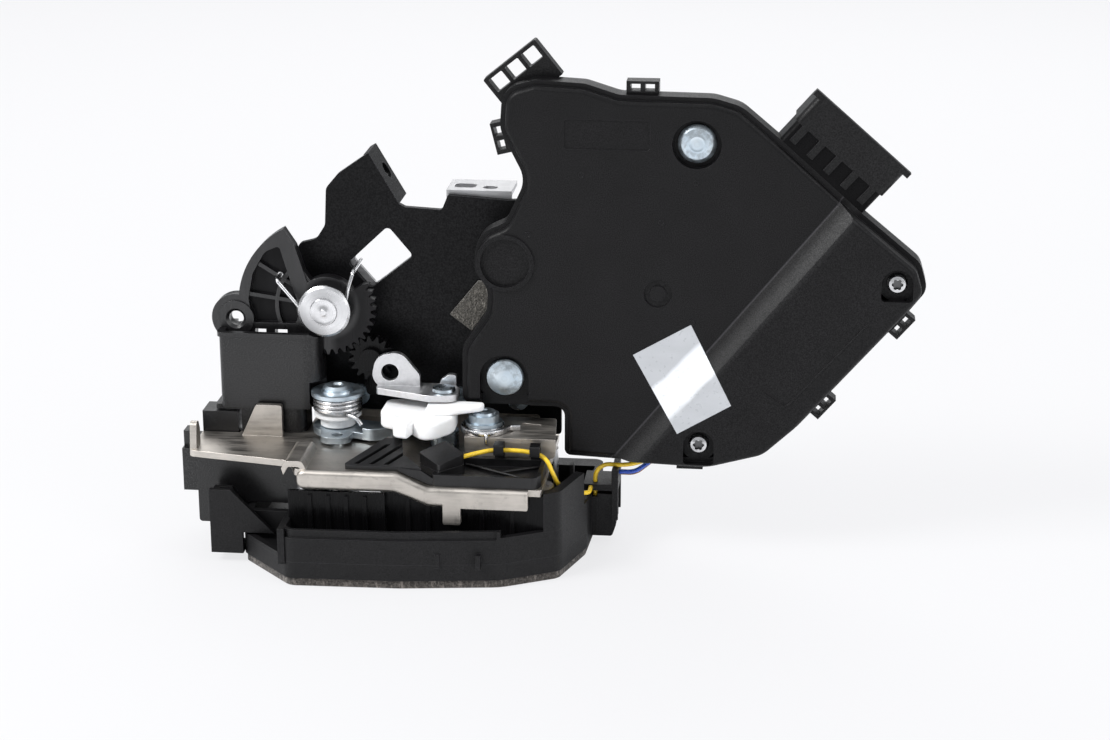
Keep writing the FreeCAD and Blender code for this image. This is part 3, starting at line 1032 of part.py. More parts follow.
def harness_holder():
    """Black plug body on the right side of the casing, with a wire comb."""
    x0 = HOLDER_X
    top = CASE_H - 1.0
    body = prism([(x0, 0.3), (x0 + 4.6, 0.3, 1), (x0 + 5.8, 4.0, 1), (x0 + 5.8, top, 1), (x0, top)],
                 "xz", 3.0, 13.0)
    comb = prism([(52.0, COMB_Z), (x0 + 6.4, COMB_Z), (x0 + 6.4, COMB_Z + 7.0, 1), (x0 + 4.4, COMB_Z + 7.0, 0.5),
                  (x0 + 4.4, COMB_Z + 2.0), (52.0, COMB_Z + 2.0)], "xz", 2.0, 14.0)
    stem = block((x0 + 0.2, 6.4, top - 0.5), (x0 + 4.8, 11.0, COMB_Z + 0.2))
    ears = [block((x0 + 4.6, y, CASE_H - 9.0), (x0 + 6.4, y + 1.4, COMB_Z + 5.0)) for y in (1.8, 12.8)]
    body = join([body, comb, stem] + ears)
    notch = block((x0 + 3.0, YELLOW_FOOT[1] - 0.1, COMB_Z + 5.8), (x0 + 8.0, YELLOW_FOOT[1] + 2.5, COMB_Z + 8))
    return body.cut([round_bar("xy", YELLOW_FOOT, WIRE_R + 0.2, COMB_Z - 1, COMB_Z + 3), notch])


def yellow_run():
    """Way of the switch's wire: along the hooks, over the casing's edge and into the holder."""
    low = CASE_H + 1.4
    return [(17.6, -18.385, 32.2), (20.6, -15.43, 32.2), (25.6, -12.5, 32.6), (31.2, -12.0, 32.6),
            (36.8, -12.1, 32.4), (42.2, -13.2, 31.2), (44.9, -15.4, 25.8), (46.7, -12.6, low + 4.4),
            (48.4, -6.6, low + 1.8), (54.2, -3.4, low), (54.2, 2.0, low)]


def wire(name, points):
    """Round wire along a path; its length, bend radii and volume ratio are printed."""
    solid, length, bends = rod(points, WIRE_R)
    print(name, round(length, 1), [round(b, 1) for b in bends],
          round(solid.Volume / (math.pi * WIRE_R ** 2 * length), 4))
    return solid


def carrier_wire():
    return wire("carrier_wire", yellow_run())


def yellow_wire():
    """Lead that rises out of the holder and bends over to the gland."""
    x, y = YELLOW_FOOT
    return wire("yellow_wire", [(x, y, CASE_H - 2.0), (x, y, CASE_H + 8.2), (x + 10.6, y + 2.0, CASE_H + 7.0),
                                (GLAND[0] - 4.6, 13.4, 24.1), (GLAND[0], 13.4, 24.1)])


def harness_wire(name):
    """Short lead from the holder's comb to the gland under the housing."""
    y0, rise, y1, z1 = LEADS[name]
    x0 = HOLDER_X + 6.4
    z0 = CASE_H + rise
    return wire(name, [(x0, y0, z0), (x0 + 4.6, y0, z0), (GLAND[0] - 4.6, y1, z1), (GLAND[0], y1, z1)])


# Actuator cover and housing

def strip_side(shift):
    """Everything on the lower right of the strip line, moved across it by a shift."""
    (x0, z0), (x1, z1) = STRIP_TOP
    run = V(x1 - x0, 0, z1 - z0).normalize()
    side = V(-run.z, 0, run.x) * shift
    a = (x0 - run.x * 60 + side.x, z0 - run.z * 60 + side.z)
    b = (x1 + run.x * 60 + side.x, z1 + run.z * 60 + side.z)
    return [a, b, (b[0] + 150, b[1]), (a[0] + 150, a[1])]


def raised_part(base, distance, lift, bevel=0.0):
    """The part of an outline on the lower right of the strip, standing forward by a lift."""
    edge = inset(COVER_OUTLINE, "xz", 0.0, distance)
    body = Part.Face(edge).extrude(V(0, -lift, 0))
    if bevel > 0:
        body = body.makeFillet(bevel, [e for e in body.Edges if e.BoundBox.YMax < -lift + 0.01])
    low = outline(strip_side(0.0), "xz", 0.01)
    high = outline(strip_side(STRIP_W), "xz", -COVER_STEP - 0.01)
    body = body.common(Part.makeLoft([low, high], True, True))
    body.translate(V(0, base, 0))
    return body


def cover_shell():
    """Skirt, face and raised face of the cover, with rounded face edges and the sloping step."""
    skirt = prism(COVER_OUTLINE, "xz", COVER_Y + 2.4, PART_Y)
    face = Part.Face(inset(COVER_OUTLINE, "xz", COVER_Y, FACE_INSET)).extrude(V(0, 2.5, 0))
    face = face.makeFillet(FACE_ROUND, [e for e in face.Edges if e.BoundBox.YMax < COVER_Y + 0.01])
    lifted = raised_part(COVER_Y, FACE_INSET, COVER_STEP, FACE_ROUND)
    return skirt, face, lifted


def arched(place, half, foot, low, high):
    """Recess round a head: arched at the top, straight at the foot."""
    x, z = place
    return prism([(x - half, z - foot, 1.2), (x + half, z - foot, 1.2), (x + half, z + half, half * 0.96),
                  (x - half, z + half, half * 0.96)], "xz", low, high)


def fastener_posts(low, high, inside):
    """Posts round the rivets and the screws between two depths, kept inside an outline."""
    posts = [round_bar("xz", RIVET_A, RIVET_R + 3.4, low, high),
             round_bar("xz", RIVET_B, RIVET_R + 3.0, low, high),
             round_bar("xz", SCREW_A, SCREW_R + 2.6, low, high),
             round_bar("xz", SCREW_B, SCREW_R + 2.6, low, high)]
    return [post.common(inside) for post in posts]


def actuator_cover():
    skirt, face, lifted = cover_shell()
    outer = join([skirt, face, lifted])
    room = inner_prism(COVER_OUTLINE, "xz", COVER_Y + COVER_WALL, PART_Y + 1, 3.2)
    raised_room = raised_part(COVER_Y + COVER_WALL + 0.05, 3.6, COVER_STEP)
    body = outer.cut([room, raised_room])
    posts = fastener_posts(COVER_Y + 1.0, PART_Y, prism(COVER_OUTLINE, "xz", COVER_Y, PART_Y))
    low = COVER_Y - COVER_STEP
    posts += [round_bar("xz", place, SCREW_R + 2.6, low + 1.5, COVER_Y + 2.0) for place in (SCREW_A, SCREW_B)]
    posts.append(round_bar("xz", DISC_PLACE, DISC_R + 1.2, COVER_Y - 0.7, COVER_Y + 4.0))
    body = join([body] + posts)
    cuts = [round_bar("xz", RIVET_A, RIVET_R + 1.5, COVER_Y - 6, COVER_Y + SEAT),
            arched(RIVET_B, RIVET_R + 1.7, 10.5, COVER_Y - 6, COVER_Y + SEAT)]
    for place, foot in ((SCREW_A, 0.5), (SCREW_B, 1.5)):
        half = SCREW_R + 1.6
        cuts.append(arched(place, half, half + foot, low - 3, low + SEAT))
        cuts.append(round_bar("xz", place, SCREW_SHANK_R + 0.3, low - 3, PART_Y + 1))
    cuts += [round_bar("xz", place, RIVET_SHANK_R, COVER_Y - 6, PART_Y + 1) for place in (RIVET_A, RIVET_B)]
    cuts.append(round_bar("xz", DISC_PLACE, DISC_R, COVER_Y - 3, COVER_Y + 0.8))
    cuts.append(tube("xz", RING_PLACE, 4.3, 2.3, COVER_Y - 1, COVER_Y + 0.7))
    cuts.append(prism([(46.0, 122.0, 1), (71.2, 122.0, 1), (71.2, 130.8, 1), (46.0, 130.8, 1)],
                      "xz", COVER_Y - 1, COVER_Y + 0.35))
    cuts.append(socket_foot())
    return body.cut(cuts)


def socket_place(shape):
    """Carry a shape from the socket's own frame to the diagonal edge."""
    shape.rotate(V(0, 0, 0), V(0, 1, 0), -DIAG)
    shape.translate(V(SOCKET_PLACE[0], 0, SOCKET_PLACE[1]))
    return shape


def foot_block():
    """Outer body of the socket's foot in the socket's own frame."""
    w = SOCKET_W / 2
    d = SOCKET_D / 2
    y = SOCKET_Y
    return prism([(-w, y - d, 2), (w, y - d, 2), (w, y + d, 2), (-w, y + d, 2)], "xy", -5.4, 9.0)


def socket_foot():
    """Space that the socket's foot takes out of the cover and the housing."""
    return socket_place(foot_block())


def socket_shroud():
    """Connector shroud: a stepped tube with ribs, ears on its front wall and a lower back wall."""
    w = SOCKET_W / 2
    d = SOCKET_D / 2
    y = SOCKET_Y
    top = SOCKET_L
    outer = prism([(-w - 0.6, y - d - 0.6, 2), (w + 0.6, y - d - 0.6, 2), (w + 0.6, y + d + 0.6, 2),
                   (-w - 0.6, y + d + 0.6, 2)], "xy", 8.0, top)
    slant = prism([(y - d + SOCKET_WALL, top), (y + d + 2, top - SOCKET_FALL), (y + d + 2, top + 3),
                   (y - d + SOCKET_WALL, top + 3)], "yz", -w - 3, w + 3)
    ears = [block((-w - 2.0, y - d - 0.6, top - 1.8), (-w + 1, y - d + SOCKET_WALL, top)),
            block((w - 1, y - d - 0.6, top - 1.8), (w + 2.0, y - d + SOCKET_WALL, top))]
    ribs = []
    for i in range(5):
        x = -w + 3.2 + i * (SOCKET_W - 6.4) / 4
        ribs.append(block((x - 1.1, y - d - 0.6, 2.4), (x + 1.1, y - d + 1, 8.2)))
    body = join([foot_block(), outer.cut(slant)] + ears + ribs)
    inner = prism([(-w + SOCKET_WALL, y - d + SOCKET_WALL, 1), (w - SOCKET_WALL, y - d + SOCKET_WALL, 1),
                   (w - SOCKET_WALL, y + d - SOCKET_WALL, 1), (-w + SOCKET_WALL, y + d - SOCKET_WALL, 1)],
                  "xy", 0.0, top + 1)
    return socket_place(body.cut(inner))


def ladder_tab():
    """Ladder of three square windows on the top left corner."""
    body = prism([(0.0, -7.0), (19.6, -7.0), (19.6, 6.0, 0.6), (0.0, 6.0, 0.6)], "xz", PART_Y, PART_Y + 4.4)
    for i in range(3):
        x = 1.2 + i * 6.1
        window = prism([(x, 0.4, 0.4), (x + 4.9, 0.4, 0.4), (x + 4.9, 4.9, 0.4), (x, 4.9, 0.4)],
                       "xz", PART_Y - 1, PART_Y + 6)
        body = body.cut(window)
    body.rotate(V(0, 0, 0), V(0, 1, 0), -39.0)
    body.translate(V(25.2, 0, 135.6))
    return body


def snap_clips():
    """Snap frames on the housing's rim, each with two windows."""
    clips = []
    for x, z, tilt, width in SNAPS:
        clip = block((-width / 2, COVER_Y + 4.4, -2.0), (width / 2, PART_Y + HOUSE_RIM, SNAP_OUT))
        for side in (-1, 1):
            middle = side * width * 0.22
            clip = clip.cut(block((middle - width * 0.15, COVER_Y, SNAP_WINDOW[0]),
                                  (middle + width * 0.15, BRACKET_Y, SNAP_WINDOW[1])))
        clip.rotate(V(0, 0, 0), V(0, 1, 0), tilt)
        clip.translate(V(x, 0, z))
        clips.append(clip)
    return clips


def actuator_housing():
    """Back half of the actuator: a rim, a narrower tray, the socket, the ladder and snap frames."""
    rim = prism(COVER_OUTLINE, "xz", PART_Y, PART_Y + HOUSE_RIM)
    tray = inner_prism(COVER_OUTLINE, "xz", PART_Y, BRACKET_Y, HOUSE_INSET)
    room = inner_prism(COVER_OUTLINE, "xz", PART_Y - 1, BRACKET_Y - COVER_WALL, HOUSE_INSET + COVER_WALL)
    keep_out = prism(COVER_OUTLINE, "xz", COVER_Y, PART_Y)
    posts = fastener_posts(PART_Y, BRACKET_Y, tray)
    outside = [shape.cut(keep_out) for shape in snap_clips() + [ladder_tab()]]
    boss = round_bar("xz", WHEEL_PLACE, 4.5, MOTOR_Y + 3.6, BRACKET_Y - 1)
    gland = block((GLAND[0], PART_Y + 0.3, GLAND[2]), (GLAND[1], BRACKET_Y - 0.2, GLAND[3]))
    body = rim.fuse(tray).cut([room, socket_foot()])
    body = join([body, socket_shroud()] + posts + outside + [boss, gland])
    cuts = [connector_pins()]
    cuts += [round_bar("xz", place, RIVET_SHANK_R, PART_Y - 1, BRACKET_Y + 1) for place in (RIVET_A, RIVET_B)]
    for place in (SCREW_A, SCREW_B):
        cuts.append(round_bar("xz", place, SCREW_SHANK_R, PART_Y - 1, BRACKET_Y - 1.5))
    cuts.append(round_bar("xz", WHEEL_PLACE, WHEEL_PIN_R, 0, BRACKET_Y - 1.0))
    return body.cut(cuts)


def connector_pins():
    """Two rows of flat blades in the socket."""
    pins = []
    for row in (-2.2, 2.2):
        for i in range(6):
            x = (i - 2.5) * 4.2
            pins.append(block((x - 0.6, SOCKET_Y + row - 0.4, -2.0), (x + 0.6, SOCKET_Y + row + 0.4, 9.0)))
    return socket_place(Part.makeCompound(pins))


def housing_rivets():
    rivets = []
    for place in (RIVET_A, RIVET_B):
        seat = COVER_Y + SEAT
        head = turned([(0, seat - RIVET_HEAD), (RIVET_R - 1.2, seat - RIVET_HEAD), (RIVET_R, seat - RIVET_HEAD + 0.9),
                       (RIVET_R, seat), (0, seat)], "xz", place)
        shank = round_bar("xz", place, RIVET_SHANK_R, seat, BRACKET_Y + BRACKET_T)
        back = BRACKET_Y + BRACKET_T
        tail = round_bar("xz", place, RIVET_SHANK_R + 1.6, back, back + 1.8)
        rivets.append(join([head, shank, tail]))
    return Part.makeCompound(rivets)


def cover_screws():
    screws = []
    for place in (SCREW_A, SCREW_B):
        seat = COVER_Y - COVER_STEP + SEAT
        head = turned([(0, seat - 2.2), (1.4, seat - 2.2), (SCREW_R - 0.6, seat - 1.8), (SCREW_R, seat - 0.8),
                       (SCREW_R, seat), (0, seat)], "xz", place)
        recess = gear_star(place, 1.7, seat - 2.4, seat - 1.0)
        shank = round_bar("xz", place, SCREW_SHANK_R, seat, BRACKET_Y - 2.5)
        screws.append(join([head, shank]).cut(recess))
    return Part.makeCompound(screws)


def gear_star(place, radius, low, high):
    """Six-lobed recess."""
    body = round_bar("xz", place, radius * 0.78, low, high)
    lobes = []
    for i in range(6):
        lobes.append(round_bar("xz", polar(place, radius * 0.72, i * 60.0), radius * 0.28, low, high))
    return body.multiFuse(lobes)


def blank_label():
    """Blank sticker folded over the sloping strip."""
    corners = [(83.0, 69.6), (95.0, 45.0), (78.9, 36.6), (66.4, 61.0)]
    patch = prism(corners, "xz", -10, COVER_Y)
    flat = prism(corners, "xz", COVER_Y - LABEL_T, COVER_Y)
    core_low = outline(strip_side(0.0), "xz", 0.01)
    core_high = outline(strip_side(STRIP_W), "xz", -COVER_STEP - 0.01)
    core = Part.makeLoft([core_low, core_high], True, True)
    top = prism(strip_side(STRIP_W - 0.02), "xz", -COVER_STEP - LABEL_T, -COVER_STEP)
    slope = core.copy()
    slope.translate(V(0, -LABEL_T, 0))
    band = slope.cut(core).common(patch)
    upper = flat.cut(prism(strip_side(0.17), "xz", -10, 10))
    return join([band, upper, top.common(patch)]).cut(core)


# Motor, worm and wheel

def shaft_place(shape, middle):
    """Carry a shape drawn along +Z to the motor's axis."""
    shape.rotate(V(0, 0, 0), V(0, 1, 0), 90 - RUN_ANGLE)
    shape.translate(V(middle[0], MOTOR_Y, middle[1]))
    return shape


def lock_motor():
    """Flat-sided motor can with its end cap and boss."""
    can = Part.makeCylinder(MOTOR_R, MOTOR_L, V(0, 0, -MOTOR_L / 2))
    flats = Part.makeBox(24, 15.4, 40, V(-12, -7.7, -20))
    boss = Part.makeCylinder(3.0, 1.5, V(0, 0, -MOTOR_L / 2 - 1.5))
    cap = Part.makeCylinder(7.0, 2.0, V(0, 0, MOTOR_L / 2))
    body = join([can.common(flats), boss, cap.common(flats)])
    body = body.cut(Part.makeCylinder(WORM_SHAFT_R + 0.05, 30, V(0, 0, -MOTOR_L / 2 - 5)))
    return shaft_place(body, MOTOR_MID)


def motor_worm():
    """Single-start worm on the motor shaft."""
    pitch = math.pi * GEAR_M
    root = WORM_R - 1.1 * GEAR_M
    core = Part.makeCylinder(root, WORM_L, V(0, 0, -WORM_L / 2))
    shaft = Part.makeCylinder(WORM_SHAFT_R, 26.0, V(0, 0, -WORM_L / 2 - 1))
    z = -1.5 * pitch
    turns = Part.makeHelix(pitch, 3.0 * pitch, root)
    turns.translate(V(0, 0, z))
    flank = math.tan(math.radians(20))
    half_root = 0.20 * pitch + 1.1 * GEAR_M * flank
    half_tip = 0.20 * pitch - 0.8 * GEAR_M * flank
    tip = WORM_R + 0.8 * GEAR_M
    profile = Part.makePolygon([V(root - 0.2, 0, z - half_root), V(tip, 0, z - half_tip),
                                V(tip, 0, z + half_tip), V(root - 0.2, 0, z + half_root),
                                V(root - 0.2, 0, z - half_root)])
    thread = Part.Wire(turns.Edges).makePipeShell([profile], True, True)
    body = join([core, shaft, thread])
    return shaft_place(body, WORM_MID)


def worm_wheel():
    """Drive wheel with slanted teeth, a thin web and a hub."""
    y0 = MOTOR_Y - 2.5
    lead = math.degrees(math.atan(GEAR_M / (2 * WORM_R)))
    twist = math.degrees(2.5 * math.tan(math.radians(lead)) / (GEAR_M * WHEEL_TEETH / 2))
    phase = RUN_ANGLE - 90 + 180.0 / WHEEL_TEETH
    first = gear_outline(WHEEL_PLACE, WHEEL_TEETH, "xz", y0, phase, spin=WHEEL_HAND * twist)
    last = gear_outline(WHEEL_PLACE, WHEEL_TEETH, "xz", y0 + 5.0, phase, spin=-WHEEL_HAND * twist)
    body = Part.makeLoft([first, last], True, True)
    body = body.cut([tube("xz", WHEEL_PLACE, 13.0, 6.0, y0 - 1, y0 + 1.6),
                     tube("xz", WHEEL_PLACE, 13.0, 6.0, y0 + 3.4, y0 + 6)])
    return body.cut(round_bar("xz", WHEEL_PLACE, WHEEL_PIN_R + PIN_FIT, 0, 20))


def wheel_pin():
    return round_bar("xz", WHEEL_PLACE, WHEEL_PIN_R, MOTOR_Y - 3.5, BRACKET_Y - 1.0)


def circuit_carrier():
    """Flat contact carrier between the socket and the motor."""
    return prism([(100.0, 108.0, 2), (122.0, 104.0, 2), (128.0, 96.0, 2), (106.0, 88.0, 2), (94.0, 96.0, 2)],
                 "xz", BRACKET_Y - COVER_WALL - 2.0, BRACKET_Y - COVER_WALL)


NODES = {
    "face_plate": face_plate, "face_plate_left": face_plate_left, "face_plate_right": face_plate_right,
    "casing_floor": casing_floor, "casing_floor_left": casing_floor_left,
    "casing_floor_right": casing_floor_right, "casing_screen": casing_screen, "latch_casing": latch_casing, "entry_wing": entry_wing, "foam_seal": foam_seal,
    "threaded_bushes": threaded_bushes, "claw": claw, "claw_pin": claw_pin, "claw_spring": claw_spring,
    "pawl": pawl, "pawl_pin": pawl_pin, "pawl_spring": pawl_spring, "latch_plate": latch_plate,
    "side_housing": side_housing, "guide_shroud": guide_shroud, "bracket_frame": bracket_frame,
    "bracket_rivets": bracket_rivets, "slotted_flange": slotted_flange, "foam_patch": foam_patch,
    "outside_lever": outside_lever, "outside_lever_pin": outside_lever_pin, "spring_cup": spring_cup,
    "outside_lever_spring": outside_lever_spring, "transfer_pinion": transfer_pinion, "transfer_pin": transfer_pin,
    "intermediate_lever": intermediate_lever, "left_bush": left_bush,
    "lever_spring": lever_spring, "left_cap": left_cap, "lever_stud": lever_stud, "cable_lever": cable_lever,
    "locking_lever": locking_lever, "spring_platform": spring_platform, "spiral_spring": spiral_spring,
    "pin_washers": pin_washers, "switch_carrier": switch_carrier, "microswitch": microswitch,
    "switch_plunger": switch_plunger, "harness_holder": harness_holder, "carrier_wire": carrier_wire,
    "yellow_wire": yellow_wire,
    "actuator_cover": actuator_cover, "actuator_housing": actuator_housing, "connector_pins": connector_pins,
    "housing_rivets": housing_rivets, "cover_screws": cover_screws, "blank_label": blank_label,
    "lock_motor": lock_motor, "motor_worm": motor_worm, "worm_wheel": worm_wheel, "wheel_pin": wheel_pin,
    "circuit_carrier": circuit_carrier,
}


def main():
    os.makedirs("parts", exist_ok=True)
    for name, make in NODES.items():
        shape = make()
        shape.exportStep("parts/" + name + ".step")
        print(name, shape.isValid(), len(shape.Solids), round(shape.Volume, 1))
    for name in LEADS:
        shape = harness_wire(name)
        shape.exportStep("parts/" + name + ".step")
        print(name, shape.isValid(), len(shape.Solids), round(shape.Volume, 1))


main()
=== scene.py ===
"""Finishes and fine pieces of the door latch actuator, round its fixed frame."""
import math

import bpy
import numpy as np
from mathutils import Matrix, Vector


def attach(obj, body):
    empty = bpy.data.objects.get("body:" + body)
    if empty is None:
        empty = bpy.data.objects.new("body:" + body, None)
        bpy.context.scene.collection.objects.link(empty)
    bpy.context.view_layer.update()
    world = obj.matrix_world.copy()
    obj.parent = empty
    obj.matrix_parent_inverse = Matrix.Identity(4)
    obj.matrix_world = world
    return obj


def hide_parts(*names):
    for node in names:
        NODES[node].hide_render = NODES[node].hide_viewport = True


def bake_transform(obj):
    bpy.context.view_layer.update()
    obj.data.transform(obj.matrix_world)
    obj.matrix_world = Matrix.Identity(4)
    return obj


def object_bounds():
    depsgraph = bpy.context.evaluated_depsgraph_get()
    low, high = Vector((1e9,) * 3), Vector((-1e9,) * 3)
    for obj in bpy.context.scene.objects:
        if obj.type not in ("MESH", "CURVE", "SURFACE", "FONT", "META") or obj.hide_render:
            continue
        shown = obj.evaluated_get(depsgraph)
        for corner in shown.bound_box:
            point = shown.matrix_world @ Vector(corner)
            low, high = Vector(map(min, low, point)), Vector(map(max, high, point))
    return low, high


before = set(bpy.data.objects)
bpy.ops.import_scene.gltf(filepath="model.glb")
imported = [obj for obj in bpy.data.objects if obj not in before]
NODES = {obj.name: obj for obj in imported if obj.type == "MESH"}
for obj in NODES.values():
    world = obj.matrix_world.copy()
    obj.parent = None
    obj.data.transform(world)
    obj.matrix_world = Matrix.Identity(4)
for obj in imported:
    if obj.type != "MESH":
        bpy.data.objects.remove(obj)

bl_info = {
    "name": "Door Latch Actuator",
    "version": (1, 0, 0),
    "blender": (4, 5, 0),
    "location": "View3D > Sidebar > Latch",
    "description": "Finishes and fine pieces of a door latch with its motor housing",
    "category": "Object",
}

MM = 0.001
CAD_LOW, CAD_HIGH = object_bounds()

# Places of the object, in millimetres in the frame of the latch
COVER_FACE = 0.0            # cover's upper left face
RAISED_FACE = -5.0          # cover's lower right face
LEFT_PIN = (-24.0, 5.0)
RIGHT_PIN = (22.0, -1.0)
LEVER_PIN = (-27.3, 69.1)
PLATFORM_TOP = 35.0
PLATFORM_EDGE = -8.0
RIVETS = ((84.8, 124.1), (28.1, 50.9))
SCREWS = ((143.9, 85.0), (87.1, 33.5))
SCREW_FLOOR = -4.05         # the screws' recess begins here
SOCKET = (124.2, 117.4)     # middle of the connector shroud's front
SOCKET_REACH = 17.5
EJECTORS = ((51.3, 114.4), (84.9, 112.7), (74.9, 100.7), (35.4, 96.0), (84.4, 70.4))
BEAD_LINE = ((136.0, 73.2), (112.5, 46.4), (105.4, 51.6))

# The cover's sloping strip
STRIP_START = (126.0, 107.4)        # its upper edge starts here
STRIP_ACROSS = (0.7776, -0.6286)    # direction across it, down to the raised face
STRIP_WIDTH = 5.6
STRIP_OFFSET = 30.47                # distance of that edge from the origin, in that direction

# Heads and the bright cup: (radius, height from the seat) from the middle outwards
RIVET_FACE = 1.0            # flat of the rivet heads
RIVET_BACK = 1.2
CUP_SEAT = 5.0              # back of the bright cup
CUP_PROFILE = ((0.0, -2.15), (0.9, -2.15), (1.3, -1.9), (3.5, -1.72), (3.8, -1.85), (4.0, -1.85),
               (4.25, -1.36), (4.6, -1.3), (7.3, -1.05), (8.0, -0.55), (8.05, 0.0), (0.0, 0.0))

# Sticker: corners, right and up from the aim point of the camera
LABEL_CORNERS = ((40.8, 13.5), (52.8, -10.8), (36.6, -19.2), (23.4, 4.5))
LABEL_GRID = 45
GLARE_ACROSS = (0.7337, 0.0, -0.6795)       # direction across the sticker's band of painted glare
GLARE_BAND = (19.4, 20.6, 28.6, 29.8)

# White lever: level outlines and heights
NYLON_TOP = 41.0
NYLON_LEVER = ((-9.0, 7.6), (10.5, 8.6), (13.9, 2.0), (13.9, -8.0), (9.0, -14.6), (5.0, -15.6),
               (0.5, -10.0), (-9.4, -4.6))
NYLON_ARM = ((4.9, 1.4), (15.5, 0.2), (22.4, -1.0), (22.0, -3.6), (18.1, -5.2), (12.7, -7.6),
             (5.1, -8.0))
NYLON_FINGER = ((-5.0, -7.0), (3.0, -8.5), (1.0, -17.0), (-3.4, -15.5))

# Wound springs
SKEW = (0.31, 0.52, 0.79)   # direction that no wire of the latch runs along
COIL_STEP = 7.5             # degrees between two rings of a coil
COIL_PITCH = 1.01           # rise of one turn, in wires
LEG_BEND = 1.6
BUSH_TOP = 37.2             # seat of the left coil
LEFT_START = -52.0          # angle of its leg
LEFT_TURNS = 3.1
LEFT_LEG = ((8.6, -7.4, -2.4), (7.2, -6.9, -0.5))       # from the pin and the first turn
LEVER_SPRING_Y = 5.85       # front turn of the outside lever's spring
LEVER_ANGLES = (-140.7, 348.3)
SPRING_HOLE = (-42.0, 78.2)
HOLE_DEPTH = 6.3
WINDOW_LEG = ((-20.2, 75.8), (-18.8, 80.8))
WINDOW_DEPTH = 21.9
LATCH_TURNS = 2.9
LATCH_COILS = (             # name, node, pin, its radius, seat, way of the turns, reach of the leg
    ("claw_coil", "claw_spring", LEFT_PIN, 4.0, 11.8, -1, -9.0),
    ("pawl_coil", "pawl_spring", RIGHT_PIN, 3.5, 10.8, 1, 20.0),
)
SPIRAL_TURNS = 2.6
SPIRAL_POINTS = 190
SPIRAL_INNER = 3.1
SPIRAL_GROWTH = 4.3
SPIRAL_PHASE = 0.35         # radians
SPIRAL_SEAT = 0.92
SPIRAL_HEIGHT = 1.7
HOOK_RADIUS = 0.55
STRIP_POWER = 0.35          # squareness of the strip's section
ARC_STEPS = 8

# The picture: aim point, distance and lens of the camera
VIEW_AIM = (43.5, 0.0, 54.3)
VIEW_TURN = 6.0             # degrees to the right
VIEW_RISE = 18.0            # degrees above the floor
VIEW_DISTANCE = 720.0
SENSOR = 36.0
PICTURE_W = 1110.0
FOCAL_PIXELS = 2400.0

# The stage, in metres
FLOOR_HALF = 3.0
FLOOR_GAP = 0.0002
FLOOR_COLOUR = (0.93, 0.93, 0.94, 1.0)
FLOOR_GLOW = (0.88, 0.88, 0.895, 1.0)
FLOOR_GLOW_SHARE = 0.86
SKY_COLOUR = (0.95, 0.97, 1.0, 1.0)
SKY_STRENGTH = (0.30, 0.95)         # low down and overhead
BACKDROP = (0.973, 0.973, 0.99, 1.0)
LAMP_AIM = (0.045, 0.0, 0.06)
LAMPS = (                           # name, place, size, power
    ("key_lamp", (-0.75, -0.55, 0.95), (0.55, 0.4), 15.0),
    ("side_lamp", (0.95, -0.45, 0.55), (0.5, 0.9), 4.0),
    ("back_lamp", (0.1, 0.9, 0.8), (1.1, 0.5), 7.0),
)


# Settings that a user would change

def length(name, text, value):
    return bpy.props.FloatProperty(name=name, description=text, default=value * MM, unit="LENGTH",
                                   precision=5)


def colour(name, text, value):
    return bpy.props.FloatVectorProperty(name=name, description=text, default=value, size=3,
                                         min=0.0, max=1.0, subtype="COLOR")


class LatchFinishes(bpy.types.PropertyGroup):
    """Colours of the latch's finishes."""
    plastic: colour("Black plastic", "Moulded housings and covers", (0.0050, 0.0048, 0.0053))
    coated: colour("Coated sheet", "Black bracket", (0.0045, 0.0045, 0.0050))
    dull_zinc: colour("Dull zinc", "Latch plate and platform", (0.45, 0.42, 0.385))
    bright_zinc: colour("Bright zinc", "Levers, screws and bushes", (0.60, 0.60, 0.61))
    blue_zinc: colour("Blue zinc", "Rivets, pins and caps", (0.57, 0.63, 0.67))
    nylon: colour("White nylon", "Locking lever", (0.93, 0.93, 0.93))
    felt: colour("Felt", "Patch beside the cover", (0.075, 0.070, 0.062))
    foam: colour("Foam", "Seal under the casing", (0.045, 0.04, 0.036))
    label: colour("Label", "Blank sticker", (0.42, 0.432, 0.452))
    yellow: colour("Yellow wire", "Insulation", (0.84, 0.56, 0.03))
    blue: colour("Blue wire", "Insulation", (0.02, 0.08, 0.50))
    brown: colour("Brown wire", "Insulation", (0.30, 0.09, 0.03))
    edge_round: length("Edge round", "Small round on every moulded or cut edge", 0.20)
    grain: length("Grain", "Size of the moulded grain", 0.30)


class LatchSprings(bpy.types.PropertyGroup):
    """Sizes of the wound springs."""
    left_radius: length("Left coil", "Middle radius of the spring on the left pin", 6.9)
    left_wire: length("Left wire", "Wire of the spring on the left pin", 1.35)
    lever_radius: length("Lever coil", "Middle radius of the outside lever's spring", 5.6)
    lever_wire: length("Lever wire", "Wire of the outside lever's spring", 1.25)
    latch_wire: length("Latch wire", "Wire of the claw's and the pawl's springs", 1.4)
    strip: length("Spiral strip", "Thickness of the flat spiral's strip", 0.75)


class LatchMarks(bpy.types.PropertyGroup):
    """Sizes of the fine marks on the cover."""
    ejector: length("Ejector mark", "Radius of the small round ejector marks", 0.55)
    bead: length("Bead", "Radius of the fine moulded bead", 0.22)
    crown: length("Rivet crown", "Height of the rivet heads' crown", 0.7)
    film: length("Label film", "Thickness of the sticker", 0.16)
    nylon_round: length("White lever's edge", "Round on the moulded white lever", 1.1)


def settings(name):
    return getattr(bpy.context.scene, name)


# Mesh helpers

